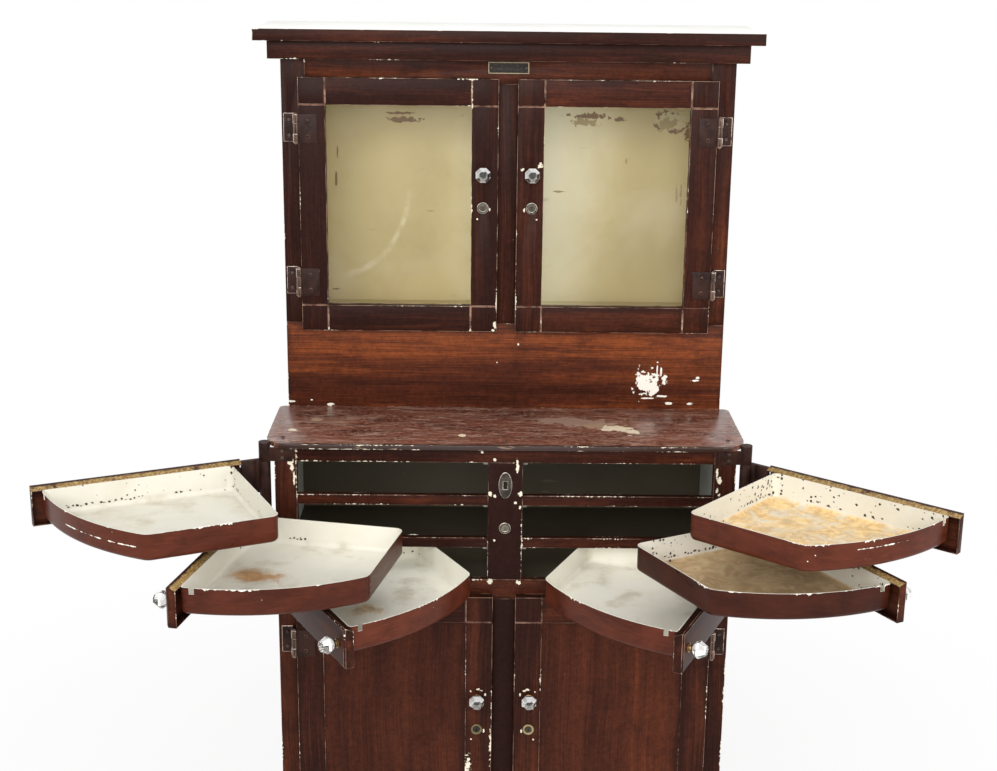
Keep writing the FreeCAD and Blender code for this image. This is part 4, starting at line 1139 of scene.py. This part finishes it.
def set_out(name, tree, places, values):
    """A mesh of one tree's part at each place, given as a point, the way that it faces and its spin."""
    points = bpy.data.meshes.new(name + "_points")
    points.from_pydata([tuple(point) for point, _, _ in places], [], [])
    turns = points.attributes.new("turn", "FLOAT_VECTOR", "POINT")
    for item, (_, outward, spin) in zip(turns.data, places):
        facing = Vector(outward).to_track_quat("Z", "Y")
        item.vector = (facing @ Matrix.Rotation(spin, 3, "Z").to_quaternion()).to_euler()
    holder = bpy.data.objects.new(name + "_points", points)
    bpy.context.scene.collection.objects.link(holder)
    modifier = holder.modifiers.new("Set out", "NODES")
    modifier.node_group = tree
    for item in tree.interface.items_tree:
        if item.in_out == "INPUT" and item.name in values:
            modifier[item.identifier] = values[item.name]
    graph = bpy.context.evaluated_depsgraph_get()
    graph.update()
    mesh = bpy.data.meshes.new_from_object(holder.evaluated_get(graph), depsgraph=graph)
    mesh.name = name
    holder.modifiers.remove(modifier)
    bpy.data.objects.remove(holder)
    bpy.data.meshes.remove(points)
    return mesh


def knob_values(glass, bright):
    """The knob tree's inputs from the size settings."""
    s = sizes()
    shoulder = s.knob_neck + KNOB_SHOULDER_SHARE * (s.knob_belly - s.knob_neck)
    crown = s.knob_table * KNOB_CROWN_SHARE
    radii = (s.knob_neck, shoulder, s.knob_belly, s.knob_belly, crown, s.knob_table)
    height = s.knob_length - s.knob_ferrule
    values = {"Sides": s.knob_sides, "Start": s.knob_ferrule, "Finish": glass, "Bright finish": bright}
    for (ring, share), radius in zip(KNOB_RINGS.items(), radii):
        values[ring + " radius"] = radius
        values[ring + " level"] = share * height
    return values


def knob_seats():
    """Body, seat and direction of every knob."""
    found = {}
    for body, tray in TRAYS.items():
        low, high = extent([tray.local(vert.co) for vert in NODES[body + "_knob"].data.vertices])
        seat = tray.world((low.x + high.x) / 2, high.y, (low.z + high.z) / 2)
        found[body] = (seat, tray.outward(0.0, -1.0))
    for level in LEVELS:
        for side in SIDES:
            body = f"{level}_{side}_door"
            middle, back = middle_of(body + "_knob"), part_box(body + "_knob")[1].y
            found[body] = (Vector((middle.x, back, middle.z)), Vector((0, -1, 0)))
    return found


LATHE_SIDES = 28

# Profile of a knob's metal seat, a flat rose, a waist and a cup: shares of the glass neck's radius and of
# the seat's length
FERRULE_SHARES = ((1.27, 0.0), (1.27, 0.12), (1.12, 0.24), (0.86, 0.36), (0.82, 0.62), (1.02, 0.80),
                  (1.05, 0.93), (0.98, 1.0))


def lathe(bm, profile, place, outward):
    """Adds a turned shape to a mesh: a profile of (radius, height), closed at both ends."""
    turn = Vector(outward).to_track_quat("Z", "Y").to_matrix()
    rings = []
    for radius, height in profile:
        angles = [math.tau * i / LATHE_SIDES for i in range(LATHE_SIDES)]
        points = [Vector((radius * math.cos(angle), radius * math.sin(angle), height)) for angle in angles]
        rings.append([bm.verts.new(Vector(place) + turn @ point) for point in points])
    for below, above in zip(rings, rings[1:]):
        for i in range(LATHE_SIDES):
            j = (i + 1) % LATHE_SIDES
            bm.faces.new((below[i], below[j], above[j], above[i]))
    bm.faces.new(list(reversed(rings[0])))
    bm.faces.new(rings[-1])


# Operators, one for each group of pieces

class CabinetOperator(bpy.types.Operator):
    """Shared settings of the cabinet's operators."""
    bl_options = {"REGISTER", "UNDO"}


class CABINET_OT_carcass(CabinetOperator):
    """Paint the walls, decks, front frames, feet and cornice"""
    bl_idname = "cabinet.carcass"
    bl_label = "Carcass"

    facing_share = 0.5
    back_from_y = 0.3
    top_share = 0.9
    # Near-white top of the cornice: a painted reflection of the white surroundings seen at a grazing angle,
    # with light dirt clouds over it
    dusty_white = (0.93, 0.925, 0.90)
    foot_rounding = 3
    # The mullion's darker tone is painted shade, where it sits back between the doors.
    rail_tone, post_tone, mullion_tone = 0.02, 0.02, -0.36
    post_from_middle = 0.2
    stile_tone, splash_tone, splash_height = -0.20, 0.13, 0.1

    def execute(self, context):
        c, s = colours(), sizes()
        outside = finish("wall_paint", grained_paint, shift=-0.10, amount=0.35)
        front = finish("base_frame_paint", grained_paint, shift=-0.16, reach=0.0034, amount=0.55,
                       marks=base_marks())
        hutch = finish("hutch_frame_paint", grained_paint, shift=-0.04, amount=0.30, marks=hutch_marks(),
                       rub=0.35)
        cornice = finish("cornice_paint", grained_paint, shift=-0.33, amount=0.30, rub=0.3)
        # The cornice's top faces take this painted reflection.
        top_reflection = finish("dusty_top", inside_paint, base=self.dusty_white, dirt=0.3)
        bay = finish("bay_paint", inside_paint, base=tuple(c.bay))
        bay_back = finish("bay_back_paint", inside_paint, base=tuple(c.bay_back))
        # The upper cupboard's back carries a painted pool of light and a painted reflection.
        inside = finish("hutch_inside_paint", inside_paint, base=tuple(c.inside),
                        over=(painted_light_strip, curved_painted_reflection), marks=back_marks())
        dress("base_wall_panels", ROOT, "grained_paint", [outside, bay, bay_back], s.fine_edge,
              self.wall_side(2))
        dress("hutch_wall_panels", ROOT, "grained_paint", [outside, inside], s.fine_edge, self.wall_side(1))
        dress("base_decks", ROOT, "inside_paint", [bay_back], s.fine_edge)
        dress("hutch_decks", ROOT, "inside_paint", [inside], s.fine_edge)
        dress("base_front_frame", ROOT, "grained_paint", [front], s.edge, tone=self.base_tone)
        dress("hutch_front_frame", ROOT, "grained_paint", [hutch], s.edge, tone=self.hutch_tone)
        dress("base_feet", ROOT, "grained_paint", [outside], s.edge * self.foot_rounding)
        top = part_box("cornice")[1].z - s.edge
        dress("cornice", ROOT, "grained_paint", [cornice, top_reflection], s.edge,
              lambda point, normal: int(normal.z > self.top_share and point.z > top))
        return {"FINISHED"}

    def wall_side(self, back):
        """Picks the inside paint for faces that look into the cabinet."""
        def choose(point, normal):
            if normal.y < -self.facing_share and point.y > self.back_from_y:
                return back
            return int(normal.x * (point.x - CENTRE_X) < 0 and abs(normal.x) > self.facing_share)
        return choose

    def base_tone(self, low, high):
        """Painted shade: a darker mullion, where it sits back between the doors."""
        if high.x - low.x > high.z - low.z:
            return self.rail_tone
        middle = (low.x + high.x) / 2 - CENTRE_X
        return self.post_tone if abs(middle) > self.post_from_middle else self.mullion_tone

    def hutch_tone(self, low, high):
        """A light splash panel, dark stiles."""
        if high.x - low.x < high.z - low.z:
            return self.stile_tone
        return self.splash_tone if high.z - low.z > self.splash_height else 0.0


class CABINET_OT_worktop(CabinetOperator):
    """Paint the worktop"""
    bl_idname = "cabinet.worktop"
    bl_label = "Worktop"

    def execute(self, context):
        dress("worktop", ROOT, "worktop_paint", [finish("worktop_paint", worktop_paint)], sizes().edge)
        return {"FINISHED"}


class CABINET_OT_doors(CabinetOperator):
    """Paint the doors, glaze the upper ones and finish their fittings"""
    bl_idname = "cabinet.doors"
    bl_label = "Doors"

    shifts = {"upper_left": -0.34, "upper_right": -0.20, "lower_left": -0.27, "lower_right": -0.22}
    panel_shift = 0.16
    locks = {"upper": "lock_bronze", "lower": "lock_brass"}
    plugs = {"upper": "plug_bronze", "lower": "lock_bronze"}
    lock_reach = 0.012
    joint_tint, joint_half = (0.15, 0.075, 0.052), 0.0006
    panel_tint, panel_half = (0.20, 0.11, 0.08), 0.0010

    # Chips in an arc round a lower knob: degrees, half width, half height
    knob_chip_reach = 0.0168
    knob_chips = ((28.0, 0.0014, 0.0030), (62.0, 0.0030, 0.0014), (84.0, 0.0042, 0.0016),
                  (128.0, 0.0016, 0.0014))

    # Other chips: door or all, from what, towards the middle, up, half width, half height, raggedness, scale
    chips = (("", "lock", 0.012, 0.006, 0.0016, 0.0034, 1.1, 260.0),
             ("", "lock", -0.009, -0.010, 0.0014, 0.0014, 0.8, 260.0),
             ("", "foot", 0.0, 0.055, 0.0016, 0.018, 1.4, 260.0),
             ("upper_left", "foot", -0.003, 0.012, 0.0035, 0.006, 0.9, 150.0),
             ("upper_left", "foot", -0.006, 0.003, 0.0028, 0.0022, 0.7, 150.0),
             ("upper_right", "knob", -0.013, 0.014, 0.0055, 0.0035, 1.3, 150.0),
             ("upper_right", "knob", 0.016, 0.008, 0.0030, 0.0020, 1.3, 200.0),
             ("upper_right", "knob", -0.022, -0.002, 0.0013, 0.012, 1.2, 150.0),
             ("lower_left", "inner edge", -0.0012, -0.02, 0.0016, 0.026, 1.7, 240.0),
             ("lower_left", "outer edge", 0.004, -0.062, 0.0050, 0.016, 2.0, 240.0))

    def execute(self, context):
        s = sizes()
        glass = finish("pane_glass", clear_pane)
        for name, shift in self.shifts.items():
            body, level = f"{name}_door", name.split("_")[0]
            paint = finish(f"{body}_paint", grained_paint, shift=shift, reach=0.0028, amount=0.36,
                           marks=self.marks(name), rub=0.95)
            dress(f"{body}_frame", body, "grained_paint", [paint], s.edge)
            # Hinge barrels and rounded edges take the lighter metal, partly a painted highlight.
            metals = [metal("hinge_paint"), metal("hinge_rubbed"), metal(self.locks[level])]
            dress(f"{body}_fittings", body, "hinge_metal", metals, s.metal_edge, self.fitting_side(name))
            dress(f"{name}_lock_plug", f"{name}_lock_plug_body", "lock_metal", [metal(self.plugs[level])],
                  s.fine_edge)
            if level == "upper":
                NODES[f"{body}_glass"].data.materials.clear()
                NODES[f"{body}_glass"].data.materials.append(glass)
            else:
                panel = finish(f"{name}_panel_paint", grained_paint, shift=shift + self.panel_shift,
                               reach=0.002, amount=0.25, marks=self.panel_marks(name), contrast=0.62)
                dress(f"{body}_panel", body, "grained_paint", [panel], 0.0)
        return {"FINISHED"}

    def fitting_side(self, name):
        """Picks the lock's metal near the lock, and the lighter worn metal for round barrels and edges of
        hinges, partly a painted highlight.
        """
        lock_x = middle_of(f"{name}_lock_plug").x
        return lambda point, normal: 2 if abs(point.x - lock_x) < self.lock_reach else slanting(normal)

    def marks(self, name):
        """Worn lines at the joints of one door, and chips round its knob and lock."""
        low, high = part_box(f"{name}_door_frame")
        knob, lock = middle_of(f"{name}_door_knob"), middle_of(f"{name}_lock_plug")
        y, stile = low.y, sizes().door_stile
        inner, toward = (high.x, 1) if "left" in name else (low.x, -1)
        found = [upright_mark(x, z, y, stile / 2, self.joint_half, 0.14, 40.0, self.joint_tint, 1.0)
                 for x in (low.x + stile / 2, high.x - stile / 2) for z in (low.z + stile, high.z - stile)]
        for degrees, wide, tall in self.knob_chips if name.startswith("lower") else ():
            turn = math.radians(degrees)
            away = Vector((math.cos(turn) * toward, 0.0, math.sin(turn))) * self.knob_chip_reach
            found.append(upright_mark(knob.x + away.x, knob.z + away.z, y, wide, tall, 1.3, 230.0))
        places = {"lock": (lock.x, lock.z), "knob": (knob.x, knob.z), "foot": (inner, low.z),
                  "inner edge": (inner, lock.z), "outer edge": (inner - stile * toward, lock.z)}
        for door, start, along, up, *shape in self.chips:
            if name.startswith(door):
                x, z = places[start]
                found.append(upright_mark(x + along * toward, z + up, y, *shape))
        return found

    def panel_marks(self, name):
        """Worn lines where a steel panel meets its frame."""
        low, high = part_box(f"{name}_door_frame")
        stile, x = sizes().door_stile, (low + high).x / 2
        return [upright_mark(x, z, low.y, high.x - low.x, self.panel_half, 0.12, 30.0, self.panel_tint, 1.0)
                for z in (low.z + stile, high.z - stile)]


class CABINET_OT_trays(CabinetOperator):
    """Enamel the trays and paint their fronts and straps"""
    bl_idname = "cabinet.trays"
    bl_label = "Trays"

    flange_depth, flange_share = 0.012, 0.6

    def execute(self, context):
        s = sizes()
        gold = finish("flange_gold", flange_gold)
        for body, tray in TRAYS.items():
            look = TRAY_LOOKS[body]
            self.pan(body, tray, [finish(body + "_enamel", enamel_inside, look=look),
                                  finish(body + "_outside", enamel_outside, look=look)])
            face = finish(body + "_front_paint", grained_paint, shift=-0.12, reach=0.0028, amount=0.45,
                          rub=0.8)
            dress(body + "_front", body, "grained_paint", [face, face if "bottom" in body else gold], s.edge,
                  self.flange_side(body), local=tray.local)
            dress(body + "_hinge", body, "hinge_metal", [metal("strap_paint")], s.edge, local=tray.local)
        return {"FINISHED"}

    def flange_side(self, body):
        """Picks the second material for the folded top of a tray's front."""
        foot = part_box(body + "_front")[1].z - self.flange_depth
        return lambda point, normal: int(normal.z > self.flange_share and point.z > foot)

    def pan(self, body, tray, materials):
        """The pan with its own axes, white inside and brown outside."""
        node = body + "_pan"
        bm = welded(node)
        bm.faces.layers.float.new("rubbed")
        layer = bm.verts.layers.float_vector.new("tray")
        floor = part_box(node)[0].z
        points = {vert: tray.local(vert.co) for vert in bm.verts}
        middle = sum(points.values(), Vector()) / len(points)
        for vert, point in points.items():
            vert[layer] = (point.x, point.y, point.z - floor)
        for face in bm.faces:
            normal = tray.direction(face.normal)
            away = sum((points[vert] for vert in face.verts), Vector()) / len(face.verts) - middle
            outwards = normal.x * away.x + normal.y * away.y > 0.0
            if abs(normal.z) > SQUARE:
                outwards = normal.z < 0.0
            face.material_index = int(outwards)
        add_piece(node, finish_mesh(bm, node), materials, body, [node])


class CABINET_OT_knobs(CabinetOperator):
    """Make the faceted glass knobs and their ferrules"""
    bl_idname = "cabinet.knobs"
    bl_label = "Glass knobs"

    def execute(self, context):
        s = sizes()
        values = knob_values(finish("knob_glass", knob_glass, clear=0.94),
                             finish("knob_glass_bright", knob_glass, clear=0.36))
        profile = [(s.knob_neck * radius, s.knob_ferrule * height) for radius, height in FERRULE_SHARES]
        tree = knob_tree()
        for body, (seat, outward) in knob_seats().items():
            mesh = set_out(body + "_knob_glass", tree, [(seat, outward, math.pi / s.knob_sides)], values)
            mesh.polygons.foreach_set("use_smooth", np.zeros(len(mesh.polygons), bool))
            add_piece(body + "_knob_glass", mesh, [], body, [body + "_knob"])
            bm = bmesh.new()
            lathe(bm, profile, seat, outward)
            bmesh.ops.recalc_face_normals(bm, faces=bm.faces)
            bm.faces.layers.float.new("rubbed")
            ferrule = body + "_knob_ferrule"
            add_piece(ferrule, finish_mesh(bm, ferrule), [metal("ferrule_brass")], body)
        return {"FINISHED"}


class CABINET_OT_fittings(CabinetOperator):
    """Finish the rods, brackets, catches, plates, hinge leaves and the lock on the mullion"""
    bl_idname = "cabinet.fittings"
    bl_label = "Fittings"

    nameplate_above, lock_reach = 0.3, 0.02

    def execute(self, context):
        s = sizes()
        strap, plug = metal("strap_paint"), metal("plug_nickel")
        # Hinge barrels and rounded edges take the lighter metal, partly a painted highlight.
        dress("hinge_frame_leaves", ROOT, "hinge_metal", [metal("hinge_paint"), metal("hinge_rubbed")],
              s.metal_edge, lambda point, normal: slanting(normal))
        dress("pivot_brackets", ROOT, "hinge_metal", [strap], s.edge)
        dress("pivot_rods", ROOT, "hinge_metal", [strap], s.edge)
        dress("tray_catches", ROOT, "fixing_steel", [metal("spring_steel")], 0.0)
        plates = [metal("plate_nickel"), metal("lock_bronze"), finish("nameplate", nameplate), plug]
        dress("front_plates", ROOT, "lock_metal", plates, s.metal_edge, self.plate_side)
        dress("mullion_lock_plug", "mullion_lock_plug_body", "lock_metal", [plug], s.fine_edge)
        return {"FINISHED"}

    def plate_side(self, point, normal):
        """Tells the nameplate, rounded edges, the lock case and the keyhole plate apart."""
        above = point.z - middle_of("mullion_lock_plug").z
        if above > self.nameplate_above:
            return 2
        if slanting(normal):
            return 3
        return int(abs(above) < self.lock_reach)


class CABINET_OT_screws(CabinetOperator):
    """Set out the slotted screws of the fixed frame"""
    bl_idname = "cabinet.screws"
    bl_label = "Screws"

    spin_step = 0.9

    def execute(self, context):
        s = sizes()
        places = []
        bm = welded("frame_screws")
        for number, members in enumerate(islands(bm)):
            low, high = extent([vert.co for vert in members])
            middle = (low + high) / 2
            if high.z - low.z > high.y - low.y:
                seat, outward = Vector((middle.x, middle.y, high.z - s.screw_height)), (0, 0, 1)
            else:
                seat, outward = Vector((middle.x, low.y + s.screw_height, middle.z)), (0, -1, 0)
            places.append((seat, outward, self.spin_step * number))
        bm.free()
        mesh = set_out("frame_screw_heads", screw_tree(), places, {
            "Head radius": s.screw_head, "Crown radius": s.screw_crown, "Head height": s.screw_height,
            "Slot width": s.slot_width, "Slot depth": s.slot_depth, "Finish": metal("dull_steel")})
        add_piece("frame_screw_heads", mesh, [], ROOT, ["frame_screws"])
        return {"FINISHED"}


class CABINET_OT_stage(CabinetOperator):
    """Set the floor, the light and the camera"""
    bl_idname = "cabinet.stage"
    bl_label = "Stage"

    camera_place = (-0.0215, -2.5307, 1.6604)
    camera_yaw, camera_pitch, camera_roll = 0.012, 0.276, 0.012
    focal_pixels, image_width = 1604.12, 997
    sensor = 36.0
    floor_reach = 40.0

    # Lamps: place, the point that it faces, width and height
    lamps = {"key": ((-0.7, -3.1, 2.15), (0.0, 0.0, 0.75), (2.6, 1.8)),
             "fill": ((2.3, -2.5, 1.7), (0.1, 0.0, 0.9), (1.8, 2.0)),
             "top": ((0.0, -0.4, 3.6), (0.0, 0.1, 0.8), (2.6, 2.0))}

    def execute(self, context):
        scene, settings = context.scene, context.scene.cabinet_stage
        scene.view_settings.view_transform = "Standard"
        self.floor(scene, settings)
        self.world(scene, settings)
        for name, setting in self.lamps.items():
            self.lamp(scene, name + "_light", *setting, getattr(settings, name + "_power"))
        self.camera(scene)
        return {"FINISHED"}

    def floor(self, scene, settings):
        """A wide flat floor."""
        bm = bmesh.new()
        corners = ((-1, -1), (1, -1), (1, 1), (-1, 1))
        bm.faces.new([bm.verts.new((x * self.floor_reach, y * self.floor_reach, 0)) for x, y in corners])
        mesh = finish_mesh(bm, "floor")
        mesh.materials.append(finish("studio_floor", studio_floor, pale=tuple(settings.floor)))
        floor = bpy.data.objects.new("floor", mesh)
        scene.collection.objects.link(floor)

    def world(self, scene, settings):
        """Soft light from all round, white to the camera."""
        world = bpy.data.worlds.new("studio")
        scene.world = world
        world.use_nodes = True
        g = Graph(world.node_tree)
        background = world.node_tree.nodes["Background"].inputs
        g.put(background["Color"], (1.0, 1.0, 1.0))
        g.put(background["Strength"], g.blend(seen(g), settings.ambient, 1.0))

    def lamp(self, scene, name, place, aim, size, watts):
        """A large soft light that faces a point."""
        data = bpy.data.lights.new(name, "AREA")
        data.shape = "RECTANGLE"
        data.size, data.size_y = size
        data.energy = watts
        lamp = bpy.data.objects.new(name, data)
        lamp.location = place
        lamp.rotation_euler = (Vector(aim) - Vector(place)).to_track_quat("-Z", "Y").to_euler()
        scene.collection.objects.link(lamp)

    def camera(self, scene):
        """The photograph's viewpoint."""
        yaw, pitch, roll = self.camera_yaw, self.camera_pitch, self.camera_roll
        level = math.cos(pitch)
        forward = Vector((math.sin(yaw) * level, math.cos(yaw) * level, -math.sin(pitch)))
        right = Vector((math.cos(yaw), -math.sin(yaw), 0.0))
        up = right.cross(forward)
        tilted_right = math.cos(roll) * right + math.sin(roll) * up
        tilted_up = math.cos(roll) * up - math.sin(roll) * right
        data = bpy.data.cameras.new("photo_camera")
        data.sensor_fit = "HORIZONTAL"
        data.sensor_width = self.sensor
        data.lens = self.focal_pixels / self.image_width * self.sensor
        camera = bpy.data.objects.new("photo_camera", data)
        turn = Matrix((tilted_right, tilted_up, -forward)).transposed()
        camera.matrix_world = Matrix.Translation(self.camera_place) @ turn.to_4x4()
        scene.collection.objects.link(camera)
        scene.camera = camera


STEPS = (CABINET_OT_carcass, CABINET_OT_worktop, CABINET_OT_doors, CABINET_OT_trays, CABINET_OT_knobs,
         CABINET_OT_fittings, CABINET_OT_screws, CABINET_OT_stage)


class CABINET_PT_panel(bpy.types.Panel):
    """Buttons and settings for the cabinet's looks"""
    bl_idname = "CABINET_PT_panel"
    bl_label = "Cabinet"
    bl_space_type = "VIEW_3D"
    bl_region_type = "UI"
    bl_category = "Cabinet"

    def draw(self, context):
        for step in STEPS:
            self.layout.operator(step.bl_idname)
        for group in SETTINGS:
            settings = getattr(context.scene, group)
            for name in settings.bl_rna.properties.keys():
                if name not in ("rna_type", "name"):
                    self.layout.prop(settings, name)


CLASSES = (*SETTINGS.values(), *STEPS, CABINET_PT_panel)


def register():
    """Registers the classes and the scene's settings."""
    for item in CLASSES:
        bpy.utils.register_class(item)
    for name, group in SETTINGS.items():
        setattr(bpy.types.Scene, name, bpy.props.PointerProperty(type=group))


def unregister():
    """Removes what register added."""
    for name in SETTINGS:
        delattr(bpy.types.Scene, name)
    for item in reversed(CLASSES):
        bpy.utils.unregister_class(item)


def main():
    """Registers the add-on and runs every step."""
    register()
    bpy.ops.cabinet.carcass()
    bpy.ops.cabinet.worktop()
    bpy.ops.cabinet.doors()
    bpy.ops.cabinet.trays()
    bpy.ops.cabinet.knobs()
    bpy.ops.cabinet.fittings()
    bpy.ops.cabinet.screws()
    bpy.ops.cabinet.stage()


if __name__ == "__main__":
    main()
